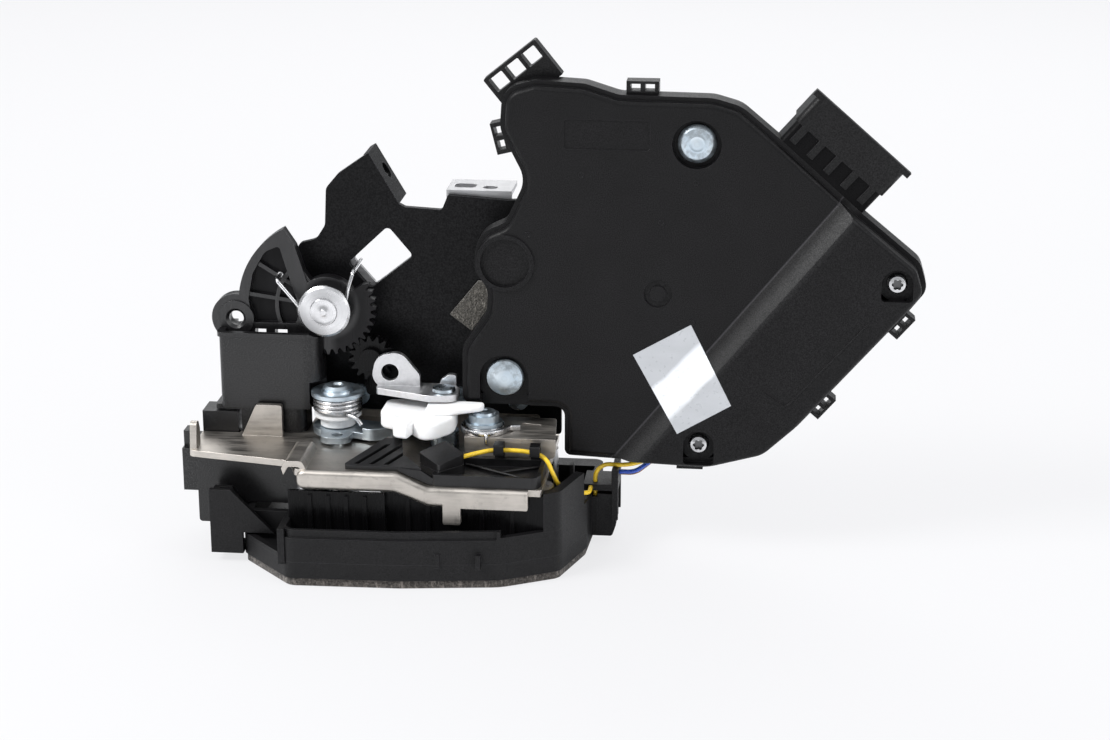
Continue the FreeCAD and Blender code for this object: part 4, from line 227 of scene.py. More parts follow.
def grid_faces(rows, columns, wrap):
    """Quads of a grid whose vertices are numbered row by row; each row closes on itself if wrapped."""
    r, c = np.meshgrid(np.arange(rows - 1), np.arange(columns if wrap else columns - 1), indexing="ij")
    r2 = r + 1
    c2 = (c + 1) % columns
    quads = np.stack([r * columns + c, r2 * columns + c, r2 * columns + c2, r * columns + c2], axis=-1)
    return quads.reshape(-1, 4)


def linked(name, data):
    """New object with the data, linked to the scene."""
    made = bpy.data.objects.new(name, data)
    bpy.context.scene.collection.objects.link(made)
    return made


def mesh_piece(name, points, quads, body, material, smooth, polygons):
    """Object from vertices in millimetres and quads; it rides on a body, if one is named, and wears
    a material."""
    mesh = bpy.data.meshes.new(name)
    faces = [tuple(q) for q in quads.tolist()] + [tuple(p) for p in polygons]
    mesh.from_pydata((np.asarray(points, dtype=float) * MM).tolist(), [], faces)
    mesh.validate()
    mesh.polygons.foreach_set("use_smooth", [True] * len(mesh.polygons))
    mesh.set_sharp_from_angle(angle=math.radians(smooth))
    mesh.update()
    piece = linked(name, mesh)
    mesh.materials.append(material)
    if body:
        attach(piece, body)
    return piece


def signed_volume(points, corners):
    """Six times the volume between the origin and the triangles of the corners."""
    a, b, c = (points[corners[:, k]] for k in range(3))
    return np.einsum("ij,ij->i", a, np.cross(b, c)).sum()


def surface(name, rows, body, material, wrap=True, caps=False, smooth=40.0):
    """Surface through a grid of points (rows, columns, 3). Caps close the first and the last row
    with a fan about their middle. The faces are turned outwards by the sign of the closed volume."""
    count, around = rows.shape[:2]
    points = rows.reshape(-1, 3)
    quads = grid_faces(count, around, wrap)
    tris = np.zeros((0, 3), dtype=int)
    if caps:
        first = np.arange(around)
        last = first + (count - 1) * around
        middle = np.stack([rows[0].mean(axis=0), rows[-1].mean(axis=0)])
        low, high = len(points), len(points) + 1
        points = np.vstack([points, middle])
        following = np.roll(first, -1)
        fan = np.stack([first, following, np.full(around, low)], axis=-1)
        fan2 = np.stack([following + last[0], last, np.full(around, high)], axis=-1)
        tris = np.vstack([fan, fan2])
    volume = signed_volume(points, quads) + signed_volume(points, quads[:, [0, 2, 3]])
    if volume + signed_volume(points, tris) < 0:
        quads = quads[:, ::-1]
        tris = tris[:, ::-1]
    return mesh_piece(name, points, quads, body, material, smooth, tris.tolist())


def runs(path):
    """Unit direction of the path at each of its points."""
    run = np.gradient(path, axis=0)
    return run / np.linalg.norm(run, axis=1, keepdims=True)


def tube_rows(path, radius, sides, up):
    """Rings round a path: centre plus radius times (cos t * side + sin t * over), where side is the
    unit cross product of the run and a fixed up, and over is across both."""
    path = np.asarray(path, dtype=float)
    run = runs(path)
    side = np.cross(run, np.asarray(up, dtype=float))
    side /= np.linalg.norm(side, axis=1, keepdims=True)
    over = np.cross(side, run)
    turn = np.linspace(0, 2 * math.pi, sides, endpoint=False)[None, :, None]
    return path[:, None, :] + (side[:, None, :] * np.cos(turn) + over[:, None, :] * np.sin(turn)) * radius


def lathe_rows(profile, centre, sides):
    """Profile of (radius, height) turned about a centre: x = r cos t, z = r sin t, y = height."""
    profile = np.asarray(profile, dtype=float)
    turn = np.linspace(0, 2 * math.pi, sides, endpoint=False)
    r, h = profile[:, 0][:, None], profile[:, 1][:, None]
    a = centre[0] + r * np.cos(turn)
    b = centre[1] + r * np.sin(turn)
    return np.stack([a, np.broadcast_to(h, a.shape), b], axis=-1)


def round_path(corners, radius):
    """Path through corners with each inner corner replaced by a quadratic arc of that reach."""
    corners = np.asarray(corners, dtype=float)
    inner = corners[1:-1]
    back = corners[:-2] - inner
    ahead = corners[2:] - inner
    back_l = np.linalg.norm(back, axis=1, keepdims=True)
    ahead_l = np.linalg.norm(ahead, axis=1, keepdims=True)
    reach = np.minimum(radius, 0.49 * np.minimum(back_l, ahead_l))
    start = inner + back / back_l * reach
    end = inner + ahead / ahead_l * reach
    t = np.linspace(0, 1, ARC_STEPS)[None, :, None]
    arcs = (1 - t) ** 2 * start[:, None] + 2 * t * (1 - t) * inner[:, None] + t ** 2 * end[:, None]
    return np.vstack([corners[:1], arcs.reshape(-1, corners.shape[1]), corners[-1:]])


def nylon_slab(name, outline, low, high, edge, reach, rise=0.0):
    """Slab of the white lever with a level outline, arcs at its corners and rounded upper and lower
    edges: the outline moves in by edge (1 - sin t) while the height goes on by edge (1 - cos t). It
    climbs by rise per millimetre along +X."""
    corners = np.asarray(outline, dtype=float)
    ring = np.vstack([corners[-1:], corners, corners[:1]])
    path = round_path(ring, reach)[1:-1]
    path = path[np.linalg.norm(path - np.roll(path, 1, axis=0), axis=1) > 0.02]
    run = np.roll(path, -1, axis=0) - np.roll(path, 1, axis=0)
    run /= np.linalg.norm(run, axis=1, keepdims=True)
    out = np.stack([run[:, 1], -run[:, 0]], axis=-1)
    after = np.roll(path, -1, axis=0)
    area = np.sum(path[:, 0] * after[:, 1] - path[:, 1] * after[:, 0])
    out = out if area > 0 else -out
    t = np.linspace(0, math.pi / 2, 7)
    inwards = edge * (1 - np.sin(t))
    onwards = edge * (1 - np.cos(t))
    shift = -np.concatenate([inwards, inwards[::-1]])
    height = np.concatenate([low + onwards, high - onwards[::-1]])
    flat = path[None] + shift[:, None, None] * out[None]
    z = height[:, None] + rise * (flat[:, :, 0] - corners[:, 0].min())
    return surface(name, np.dstack([flat, z]), "locking_lever", MATERIALS["nylon"], caps=True, smooth=35.0)


def view_axes():
    """Eye, right, up and back of the camera in the frame of the latch. Back is
    (sin a cos e, -cos a cos e, sin e), and the eye is that far from the aim point along it."""
    a, e = math.radians(VIEW_TURN), math.radians(VIEW_RISE)
    back = np.array([math.sin(a) * math.cos(e), -math.cos(a) * math.cos(e), math.sin(e)])
    right = np.array([math.cos(a), math.sin(a), 0.0])
    return np.array(VIEW_AIM) + back * VIEW_DISTANCE, right, np.cross(back, right), back


def cover_height(x, z):
    """Y of the cover's face: level, then falling evenly across the strip, then level again."""
    across = (x - STRIP_START[0]) * STRIP_ACROSS[0] + (z - STRIP_START[1]) * STRIP_ACROSS[1]
    return COVER_FACE + (RAISED_FACE - COVER_FACE) * np.clip(across / STRIP_WIDTH, 0.0, 1.0)


# Materials

MATERIALS = {}


def add_node(tree, kind, inputs, **values):
    """New node of a tree with its values and the values of its inputs."""
    made = tree.nodes.new(kind)
    for key, value in values.items():
        setattr(made, key, value)
    for key, value in inputs.items():
        made.inputs[key].default_value = value
    return made


class Finish:
    """Node tree of one finish, read in Object coordinates; it is kept in MATERIALS."""

    def __init__(self, name, base, rough, metal=0.0):
        self.material = MATERIALS[name] = bpy.data.materials.new(name)
        self.material.use_nodes = True
        self.tree = self.material.node_tree
        self.shader = self.tree.nodes["Principled BSDF"]
        self.place = self.node("ShaderNodeTexCoord").outputs["Object"]
        self.set("Base Color", (*base, 1.0))
        self.set("Roughness", rough)
        self.set("Metallic", metal)

    def node(self, kind, inputs=None, **values):
        return add_node(self.tree, kind, inputs or {}, **values)

    def set(self, socket, value):
        self.shader.inputs[socket].default_value = value

    def join(self, source, target):
        self.tree.links.new(source, target)

    def stretched(self, scale):
        """Object coordinates multiplied by a vector, for brushed or streaked patterns."""
        mapping = self.node("ShaderNodeMapping", {"Scale": scale})
        self.join(self.place, mapping.inputs["Vector"])
        return mapping.outputs["Vector"]

    def noise(self, size_mm, detail=3.0, rough=0.55, place=None):
        """Noise whose features are about size_mm across."""
        made = self.node("ShaderNodeTexNoise", {"Scale": 1.0 / (size_mm * MM), "Detail": detail,
                                                "Roughness": rough})
        self.join(place or self.place, made.inputs["Vector"])
        return made.outputs["Fac"]

    def cells(self, size_mm, feature="F1"):
        """Distance in a cell pattern whose cells are about size_mm across."""
        made = self.node("ShaderNodeTexVoronoi", {"Scale": 1.0 / (size_mm * MM)}, feature=feature)
        self.join(self.place, made.inputs["Vector"])
        return made.outputs["Distance"]

    def ranged(self, source, low, high, from_low=0.35, from_high=0.65):
        """Source moved from its own range to low and high, and clipped there."""
        made = self.node("ShaderNodeMapRange", {"From Min": from_low, "From Max": from_high,
                                                "To Min": low, "To Max": high})
        self.join(source, made.inputs["Value"])
        return made.outputs["Result"]

    def blend(self, factor, a, b):
        """Colour mix; a and b are colours or sockets."""
        made = self.node("ShaderNodeMix", data_type="RGBA")
        self.join(factor, made.inputs["Factor"])
        for socket, value in ((made.inputs["A"], a), (made.inputs["B"], b)):
            if isinstance(value, bpy.types.NodeSocket):
                self.join(value, socket)
            else:
                socket.default_value = (*value, 1.0)
        return made.outputs["Result"]

    def pair(self, kind, operation, a, b):
        """Node of two joined inputs."""
        made = self.node(kind, operation=operation)
        self.join(a, made.inputs[0])
        self.join(b, made.inputs[1])
        return made

    def product(self, a, b):
        return self.pair("ShaderNodeMath", "MULTIPLY", a, b).outputs[0]

    def rounded(self, radius_mm):
        """Normal of the piece with its edges rounded."""
        bevel = self.node("ShaderNodeBevel", {"Radius": radius_mm * MM}, samples=4)
        return bevel.outputs["Normal"]

    def edge(self, radius_mm, low=0.004, high=0.12):
        """0 on flat faces and 1 on edges: one minus the dot of the face's and the rounded normal."""
        sharp = self.node("ShaderNodeNewGeometry").outputs["Normal"]
        dot = self.pair("ShaderNodeVectorMath", "DOT_PRODUCT", self.rounded(radius_mm), sharp)
        return self.ranged(dot.outputs["Value"], 1.0, 0.0, 1.0 - high, 1.0 - low)

    def relief(self, heights, round_mm=0.0):
        """Bump from a list of (socket, strength, distance in mm), over softly rounded edges if a
        round is given."""
        normal = self.rounded(round_mm) if round_mm > 0 else None
        for socket, strength, distance in heights:
            bump = self.node("ShaderNodeBump", {"Strength": strength, "Distance": distance * MM})
            self.join(socket, bump.inputs["Height"])
            if normal is not None:
                self.join(normal, bump.inputs["Normal"])
            normal = bump.outputs["Normal"]
        self.join(normal, self.shader.inputs["Normal"])

    def distance(self, centres, plane="xz"):
        """Distance in metres from the nearest of the given axes, which stand across a plane."""
        flat = self.stretched((1.0, 0.0, 1.0) if plane == "xz" else (1.0, 1.0, 0.0))
        nearest = None
        for a, b in centres:
            made = self.node("ShaderNodeVectorMath", operation="DISTANCE")
            place = (a, 0.0, b) if plane == "xz" else (a, b, 0.0)
            made.inputs[1].default_value = tuple(value * MM for value in place)
            self.join(flat, made.inputs[0])
            far = made.outputs["Value"]
            if nearest is not None:
                far = self.pair("ShaderNodeMath", "MINIMUM", nearest, far).outputs[0]
            nearest = far
        return nearest

    def rings(self, distance, width_mm):
        """Fine turning marks: noise that depends only on the distance from the axis."""
        vector = self.node("ShaderNodeCombineXYZ")
        self.join(distance, vector.inputs["X"])
        return self.noise(width_mm, 2.0, 0.5, vector.outputs["Vector"])

    def disc(self, distance, radius_mm, soft_mm):
        """1 up to a radius and 0 from there on, over a soft border."""
        return self.ranged(distance, 1.0, 0.0, radius_mm * MM, (radius_mm + soft_mm) * MM)

    def depth(self, low, high, first=0.0, last=1.0):
        """Runs from first to last while the place goes back from low to high, in mm along +Y."""
        parts = self.node("ShaderNodeSeparateXYZ")
        self.join(self.place, parts.inputs[0])
        return self.ranged(parts.outputs["Y"], first, last, low * MM, high * MM)

    def along(self, direction):
        """Distance in metres along a direction from the origin."""
        made = self.node("ShaderNodeVectorMath", operation="DOT_PRODUCT")
        made.inputs[1].default_value = direction
        self.join(self.place, made.inputs[0])
        return made.outputs["Value"]

    def between(self, source, rise, full, fall, end):
        """0, then 1 from full to fall, then 0 again; in mm."""
        return self.product(self.ranged(source, 0.0, 1.0, rise * MM, full * MM),
                            self.ranged(source, 1.0, 0.0, fall * MM, end * MM))

    def crescent(self, centre, radius_mm, lean=(-0.64, -0.77)):
        """1 at the lower left rim of a round face, where painted shade goes, and 0 over the rest of it and
        outside it.
        """
        start = lean[0] * centre[0] + lean[1] * centre[1]
        side = self.ranged(self.along((lean[0], 0.0, lean[1])), 0.0, 1.0,
                           (start + radius_mm * 0.25) * MM, (start + radius_mm * 0.95) * MM)
        return self.product(side, self.disc(self.distance((centre,)), radius_mm, 0.4))

    def colour(self, socket):
        self.join(socket, self.shader.inputs["Base Color"])

    def rough(self, socket):
        self.join(socket, self.shader.inputs["Roughness"])

    def gloss(self, socket):
        self.join(socket, self.shader.inputs["Specular IOR Level"])


def lighter(base, factor):
    return tuple(min(1.0, c * factor) for c in base)


def moulded_plastic(name, base, rough=(0.42, 0.62), grain=0.3, depth=0.05, edge_highlight_gain=3.0, dust=1.35,
                    shine=0.22, pocket_shade=None, strip=None):
    """Moulded plastic: fine pebbled grain whose tips glint, soft mottling, faint dust, and rubbed edges
    made paler still by a painted edge highlight.
    A given recess (low, high, centre, reach) loses gloss on its floor as painted shade; a strip has a
    painted highlight along its upper edge and a band of painted highlight below it."""
    f = Finish(name, base, rough[0])
    body = f.blend(f.ranged(f.noise(14.0, 4.0), 0.0, 1.0), lighter(base, 0.85), lighter(base, dust))
    speck = f.noise(grain, 3.0, 0.65)
    body = f.blend(f.ranged(speck, 0.0, 1.0, 0.36, 0.68), lighter(base, 0.6), body)
    lint = f.ranged(f.noise(0.5, 2.0), 0.0, 0.35, 0.72, 0.80)
    body = f.blend(lint, body, lighter(base, 6.0))
    gloss = f.ranged(speck, shine * 0.7, shine * 1.35, 0.36, 0.66)
    if pocket_shade:
        low, high, centre, reach = pocket_shade
        # painted shade: the recess floor round the socket loses gloss to look darker
        inside = f.product(f.depth(low, high), f.disc(f.distance((centre,)), reach, 1.0))
        gloss = f.product(gloss, f.ranged(inside, 1.0, 0.3, 0.0, 1.0))
    if strip:
        # painted highlight: a band of doubled gloss across the strip and a pale line along its upper edge
        across = f.along((STRIP_ACROSS[0], 0.0, STRIP_ACROSS[1]))
        sheen = f.between(across, strip + 1.2, strip + 3.6, strip + 5.0, strip + 7.4)
        gloss = f.product(gloss, f.ranged(sheen, 1.0, 2.1, 0.0, 1.0))
        rim = f.between(across, strip - 0.35, strip - 0.05, strip + 0.05, strip + 0.35)
        body = f.blend(rim, body, lighter(base, 7.0))
    # edges paler: part rubbed wear, part painted edge highlight
    f.colour(f.blend(f.edge(0.25), body, lighter(base, edge_highlight_gain)))
    f.rough(f.ranged(speck, rough[1], rough[0], 0.36, 0.64))
    pebble = f.cells(grain * 1.6, "SMOOTH_F1")
    f.relief([(pebble, 0.4, depth), (f.noise(22.0, 2.0), 0.25, 0.5)],
             settings("latch_finishes").edge_round / MM)
    f.gloss(gloss)


def smooth_plastic(name, base, rough=(0.20, 0.36), shine=0.5, recess_shade=None):
    """Glossy moulded plastic with flow marks and a few fine scratches; its edges are paler from wear and a
    painted edge highlight, and its recessed floor and the teeth on the right of its hub lose gloss as
    painted shade."""
    f = Finish(name, base, rough[0])
    flow = f.noise(14.0, 3.0, place=f.stretched((1.0, 1.0, 0.3)))
    body = f.blend(f.ranged(flow, 0.0, 1.0), lighter(base, 0.7), lighter(base, 1.4))
    # edges paler: part wear, part painted edge highlight
    f.colour(f.blend(f.edge(0.25), body, lighter(base, 3.5)))
    scratch = f.noise(0.9, 5.0, 0.6, f.stretched((1.0, 1.0, 0.08)))
    f.rough(f.ranged(scratch, rough[0], rough[1]))
    f.relief([(f.noise(9.0, 2.0), 0.25, 0.25), (scratch, 0.08, 0.02)],
             settings("latch_finishes").edge_round / MM)
    f.set("Specular IOR Level", shine)
    if recess_shade:
        low, high, hub, reach = recess_shade
        # painted shade: the recessed floor and the teeth right of the hub lose gloss
        teeth = f.product(f.ranged(f.distance((hub,)), 0.0, 1.0, reach * MM, (reach + 1.5) * MM),
                          f.ranged(f.along((1.0, 0.0, 0.0)), 0.0, 1.0, hub[0] * MM, (hub[0] + 3.0) * MM))
        f.gloss(f.product(f.depth(low, high, shine, shine * 0.2), f.ranged(teeth, 1.0, 0.3, 0.0, 1.0)))


def zinc_sheet(name, base, tint, rough=(0.30, 0.5), streak=(0.12, 1.0, 1.0), spots=0.9):
    """Zinc-plated sheet: rolling streaks, cloudy passivation, small stains and bright sheared edges."""
    f = Finish(name, base, rough[0], 1.0)
    streaks = f.noise(1.1, 4.0, 0.55, f.stretched(streak))
    cloud = f.noise(7.0, 4.0)
    body = f.blend(f.ranged(cloud, 0.0, 1.0), base, tint)
    body = f.blend(f.ranged(streaks, 0.0, 0.6), body, lighter(base, 1.22))
    stain = f.ranged(f.noise(2.3, 3.0), 0.0, spots * 0.4, 0.60, 0.74)
    body = f.blend(stain, body, lighter(tint, 0.55))
    f.colour(f.blend(f.edge(0.3), body, lighter(base, 1.3)))
    f.rough(f.ranged(streaks, rough[0], rough[1]))
    f.relief([(streaks, 0.25, 0.03), (cloud, 0.3, 0.15)], 0.22)


def turned_zinc(name, base, tint, rough=(0.20, 0.36), centres=(), plane="xz", worn=0.0, recess_shade=0.0,
                shade=None):
    """Turned or headed steel part: bluish passivation, small dents and turning marks round its axis;
    a worn one has a duller face with a paler middle, one with a recess depth has painted shade, almost
    black, in the recess behind that height, and a shaded one a painted dark crescent on its lower left rim."""
    f = Finish(name, base, rough[0], 1.0)
    cloud = f.noise(6.0, 3.0)
    body = f.blend(f.ranged(cloud, 0.0, 1.0), base, tint)
    heights = [(f.noise(5.0, 1.0), 0.2, 0.08)]
    if centres:
        far = f.distance(centres, plane)
        marks = f.rings(far, 0.5)
        body = f.blend(f.ranged(marks, 0.0, 0.35), body, lighter(base, 0.75))
        heights.append((marks, 0.2, 0.03))
    if recess_shade:
        # painted shade: the recess behind that depth is painted almost black
        recess = f.product(f.depth(recess_shade, recess_shade + 0.4, 0.0, 0.95), f.disc(far, 1.8, 0.2))
        body = f.blend(recess, body, lighter(base, 0.12))
    if shade:
        # painted shade: darker crescent on the lower left rim
        body = f.blend(f.crescent(*shade), body, lighter(base, 0.34))
    if worn:
        patches = f.ranged(f.noise(1.6, 5.0, 0.7), 0.0, 1.0, 0.42, 0.6)
        scuffed = f.product(patches, f.ranged(far, 0.0, worn, 2.2 * MM, 3.0 * MM))
        body = f.blend(scuffed, body, lighter(base, 0.5))
    f.colour(body)
    f.rough(f.ranged(f.noise(3.0, 3.0), rough[0], rough[1]))
    f.relief(heights)


def white_nylon(name, base):
    """Natural nylon: slightly see-through, satin, with soft sink marks."""
    f = Finish(name, base, 0.4)
    f.colour(f.blend(f.ranged(f.noise(7.0, 3.0), 0.0, 1.0), base, lighter(base, 0.93)))
    f.rough(f.ranged(f.noise(1.5, 4.0), 0.34, 0.5))
    f.relief([(f.noise(4.0, 2.0), 0.2, 0.12)], 0.3)
    f.set("Subsurface Weight", 0.25)
    f.set("Subsurface Radius", (0.0012, 0.0011, 0.001))


def fibre_felt(name, base, pale, size):
    """Felt or foam: tangled fibres in dark and pale tones over a rough, torn surface."""
    f = Finish(name, base, 0.95)
    speck = f.noise(size, 6.0, 0.8)
    strand = f.noise(size * 1.6, 4.0, 0.7, f.stretched((1.0, 1.0, 0.35)))
    body = f.blend(f.ranged(speck, 0.0, 1.0, 0.42, 0.60), lighter(base, 0.5), pale)
    f.colour(f.blend(f.ranged(strand, 0.0, 0.8, 0.54, 0.66), body, lighter(pale, 2.0)))
    f.relief([(speck, 1.0, 0.5), (strand, 0.8, 0.4), (f.cells(size * 1.8), 0.7, 0.4)])
    f.set("Specular IOR Level", 0.1)
    f.set("Sheen Weight", 0.25)


def wire_skin(name, base):
    """Thin-wall wire insulation: satin plastic with faint lengthwise marks."""
    f = Finish(name, base, 0.34)
    f.colour(f.blend(f.ranged(f.noise(2.5, 3.0), 0.0, 1.0), lighter(base, 0.86), lighter(base, 1.12)))
    f.rough(f.ranged(f.noise(0.6, 3.0), 0.28, 0.42))
    f.relief([(f.noise(0.5, 2.0), 0.1, 0.03)], 0.1)


def foil_label(name, base, glare):
    """Blank silver-grey sticker: satin film with faint creases and a broad slanting band of painted glare.
    """
    f = Finish(name, base, 0.32, 0.1)
    crease = f.noise(5.0, 3.0, 0.5, f.stretched((0.5, 1.0, 1.4)))
    body = f.blend(f.ranged(crease, 0.0, 1.0), lighter(base, 0.97), lighter(base, 1.03))
    waves = f.ranged(f.noise(9.0, 1.0), -0.4 * MM, 0.4 * MM, 0.3, 0.7)
    across = f.pair("ShaderNodeMath", "ADD", f.along(GLARE_ACROSS), waves).outputs[0]
    # painted glare: a pale band across the sticker
    f.colour(f.blend(f.between(across, *GLARE_BAND), body, glare))
    f.rough(f.ranged(f.noise(1.2, 4.0), 0.26, 0.42))
    f.relief([(crease, 0.12, 0.15)])


def bare_metal(name, base, rough):
    """Plain drawn or turned metal of the hidden working parts."""
    f = Finish(name, base, rough, 1.0)
    f.colour(f.blend(f.ranged(f.noise(3.0, 4.0), 0.0, 1.0), lighter(base, 0.85), lighter(base, 1.1)))
    f.rough(f.ranged(f.noise(0.7, 4.0), rough * 0.8, rough * 1.3))
    f.relief([(f.noise(0.5, 2.0), 0.1, 0.02)])


def make_materials():
    """Every finish of the latch, from the colours in the panel."""
    s = settings("latch_finishes")
    black, zinc, dull, blue = (tuple(c) for c in (s.plastic, s.bright_zinc, s.dull_zinc, s.blue_zinc))
    felt, foam, label, nylon = (tuple(c) for c in (s.felt, s.foam, s.label, s.nylon))
    grain = s.grain / MM
    deep = (blue[0] * 0.84, blue[1] * 0.90, blue[2] * 0.96)
    moulded_plastic("cover_plastic", black, (0.38, 0.56), grain, shine=0.17, strip=STRIP_OFFSET)
    moulded_plastic("housing_plastic", lighter(black, 0.85), (0.34, 0.5), grain * 1.2,
                    pocket_shade=(2.1, 2.35, SOCKET, SOCKET_REACH))
    moulded_plastic("casing_plastic", lighter(black, 1.2), (0.42, 0.6), grain * 0.8)
    moulded_plastic("shroud_plastic", lighter(black, 1.2), (0.26, 0.4), grain, 0.02, shine=0.42)
    smooth_plastic("lever_plastic", lighter(black, 1.3), (0.26, 0.42), recess_shade=(9.8, 11.0, LEVER_PIN, 9.0))
    # darker, less glossy copy of the black plastic: painted shade for the parts under the flange
    smooth_plastic("shaded_screen_plastic", lighter(black, 0.6), (0.2, 0.34), 0.12)
    smooth_plastic("carrier_plastic", lighter(black, 0.9), (0.28, 0.46), 0.35)
    # the bracket's strong edge lightening is mostly a painted edge highlight
    moulded_plastic("coated_sheet", tuple(s.coated), (0.34, 0.5), grain * 1.6, 0.02, 8.0, 1.3, 0.12)
    zinc_sheet("dull_zinc", dull, lighter(dull, 0.76), (0.34, 0.52))
    zinc_sheet("platform_zinc", lighter(dull, 0.95), lighter(dull, 0.75), (0.42, 0.6))
    zinc_sheet("lever_sheet", lighter(blue, 0.86), lighter(deep, 0.78), (0.3, 0.46), spots=0.4)
    zinc_sheet("bright_sheet", lighter(zinc, 0.95), lighter(zinc, 0.8), (0.34, 0.5), (1.0, 0.15, 1.0), 0.4)
    zinc_sheet("angle_sheet", lighter(zinc, 0.66), lighter(zinc, 0.52), (0.42, 0.58), spots=0.4)
    turned_zinc("bright_steel", lighter(zinc, 0.95), lighter(zinc, 0.8), (0.24, 0.4), SCREWS,
                recess_shade=SCREW_FLOOR)
    turned_zinc("rivet_zinc", lighter(blue, 0.92), deep, (0.3, 0.46), RIVETS, worn=0.75,
                shade=(RIVETS[1], 5.4))
    turned_zinc("lever_zinc", zinc, lighter(zinc, 0.9), (0.24, 0.34), (LEVER_PIN,),
                shade=(LEVER_PIN, 7.9))
    turned_zinc("left_zinc", blue, deep, (0.34, 0.48), (LEFT_PIN,), "xy")
    turned_zinc("right_zinc", lighter(blue, 0.9), deep, (0.34, 0.48), (RIGHT_PIN,), "xy")
    turned_zinc("blue_zinc", blue, deep)
    turned_zinc("spring_wire", lighter(zinc, 1.1), lighter(zinc, 0.85), (0.2, 0.32))
    white_nylon("nylon", nylon)
    white_nylon("bush", lighter(nylon, 0.8))
    fibre_felt("felt", felt, lighter(felt, 2.4), 0.45)
    fibre_felt("foam", foam, lighter(foam, 2.6), 0.8)
    foil_label("label", label, lighter(label, 1.75))
    for name, skin in (("yellow", s.yellow), ("blue", s.blue), ("brown", s.brown)):
        wire_skin(name, tuple(skin))
    wire_skin("black_skin", lighter(black, 1.2))
    bare_metal("contact", (0.72, 0.62, 0.42), 0.28)
    bare_metal("motor_can", (0.55, 0.55, 0.55), 0.35)
    white_nylon("gear_plastic", (0.72, 0.70, 0.62))


WEARS = {
    "cover_plastic": ("actuator_cover",),
    "housing_plastic": ("actuator_housing",),
    "casing_plastic": ("latch_casing", "casing_floor", "casing_floor_left", "casing_floor_right",
                       "entry_wing", "harness_holder"),
    "shroud_plastic": ("guide_shroud", "side_housing"),
    "lever_plastic": ("outside_lever",),
    "carrier_plastic": ("switch_carrier", "microswitch", "circuit_carrier"),
    "shaded_screen_plastic": ("casing_screen", "transfer_pinion", "transfer_pin"),
    "coated_sheet": ("bracket_frame",),
    "dull_zinc": ("latch_plate", "face_plate", "face_plate_left", "face_plate_right"),
    "lever_sheet": ("intermediate_lever",),
    "platform_zinc": ("spring_platform",),
    "angle_sheet": ("slotted_flange",),
    "bright_sheet": ("cable_lever", "claw", "pawl"),
    "bright_steel": ("cover_screws", "threaded_bushes", "wheel_pin", "motor_worm"),
    "rivet_zinc": ("housing_rivets",),
    "lever_zinc": ("spring_cup", "outside_lever_pin"),
    "left_zinc": ("left_cap", "claw_pin"),
    "right_zinc": ("pawl_pin", "pin_washers"),
    "blue_zinc": ("bracket_rivets", "lever_stud"),
    "spring_wire": ("claw_spring", "pawl_spring", "outside_lever_spring", "lever_spring", "spiral_spring"),
    "nylon": ("locking_lever",),
    "bush": ("left_bush",),
    "felt": ("foam_patch",),
    "foam": ("foam_seal",),
    "label": ("blank_label",),
    "yellow": ("carrier_wire", "yellow_wire"),
    "blue": ("blue_wire",),
    "brown": ("brown_wire",),
    "black_skin": ("black_wire",),
    "contact": ("connector_pins",),
    "motor_can": ("lock_motor",),
    "gear_plastic": ("worm_wheel", "switch_plunger"),
}


# Operators

class LATCH_OT_finishes(bpy.types.Operator):
    """Give every solid piece of the latch its finish"""
    bl_idname = "latch.finishes"
    bl_label = "Finishes"

    def execute(self, context):
        make_materials()
        worn = set()
        for name, nodes in WEARS.items():
            for node in nodes:
                mesh = NODES[node].data
                mesh.materials.clear()
                mesh.materials.append(MATERIALS[name])
                worn.add(node)
        bare = set(NODES) - worn
        if bare:
            raise RuntimeError("no finish for " + ", ".join(sorted(bare)))
        return {"FINISHED"}


def helix(centre, plane, radius, first, last, low, high):
    """Wound wire: centre + radius (cos t, sin t), while t runs from first to last (degrees) and the
    height from low to high."""
    t = np.radians(np.linspace(first, last, int(abs(last - first) / COIL_STEP)))
    a = centre[0] + radius * np.cos(t)
    b = centre[1] + radius * np.sin(t)
    h = np.linspace(low, high, len(t))
    return np.stack([a, b, h] if plane == "xy" else [a, h, b], axis=-1)


def wire_piece(name, path, radius, body):
    """Round wire along a path; it rides on a body, if one is named."""
    return surface(name, tube_rows(path, radius, 14, SKEW), body, MATERIALS["spring_wire"], caps=True,
                   smooth=60.0)


def wound_spring(name, node, first_leg, coil, last_leg, wire, body="base"):
    """One wire through a first leg, a coil and a last leg; it stands for a node."""
    parts = [coil]
    if first_leg:
        parts.insert(0, round_path([*first_leg, tuple(coil[0])], LEG_BEND)[:-1])
    if last_leg:
        parts.append(round_path([tuple(coil[-1]), *last_leg], LEG_BEND)[1:])
    piece = wire_piece(name, np.vstack(parts), wire / 2, body)
    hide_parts(node)
    return piece


def strip_rows(path, width, height):
    """Rounded flat strip along a path in a level plane: width across the run times a power of cos t,
    height along Z times the same power of sin t."""
    path = np.asarray(path, dtype=float)
    side = np.cross(runs(path), (0.0, 0.0, 1.0))
    t = np.linspace(0, 2 * math.pi, 16, endpoint=False)
    across = np.sign(np.cos(t)) * np.abs(np.cos(t)) ** STRIP_POWER * width / 2
    rise = np.sign(np.sin(t)) * np.abs(np.sin(t)) ** STRIP_POWER * height / 2
    up = np.array([0.0, 0.0, 1.0]) * rise[None, :, None]
    return path[:, None, :] + side[:, None, :] * across[None, :, None] + up


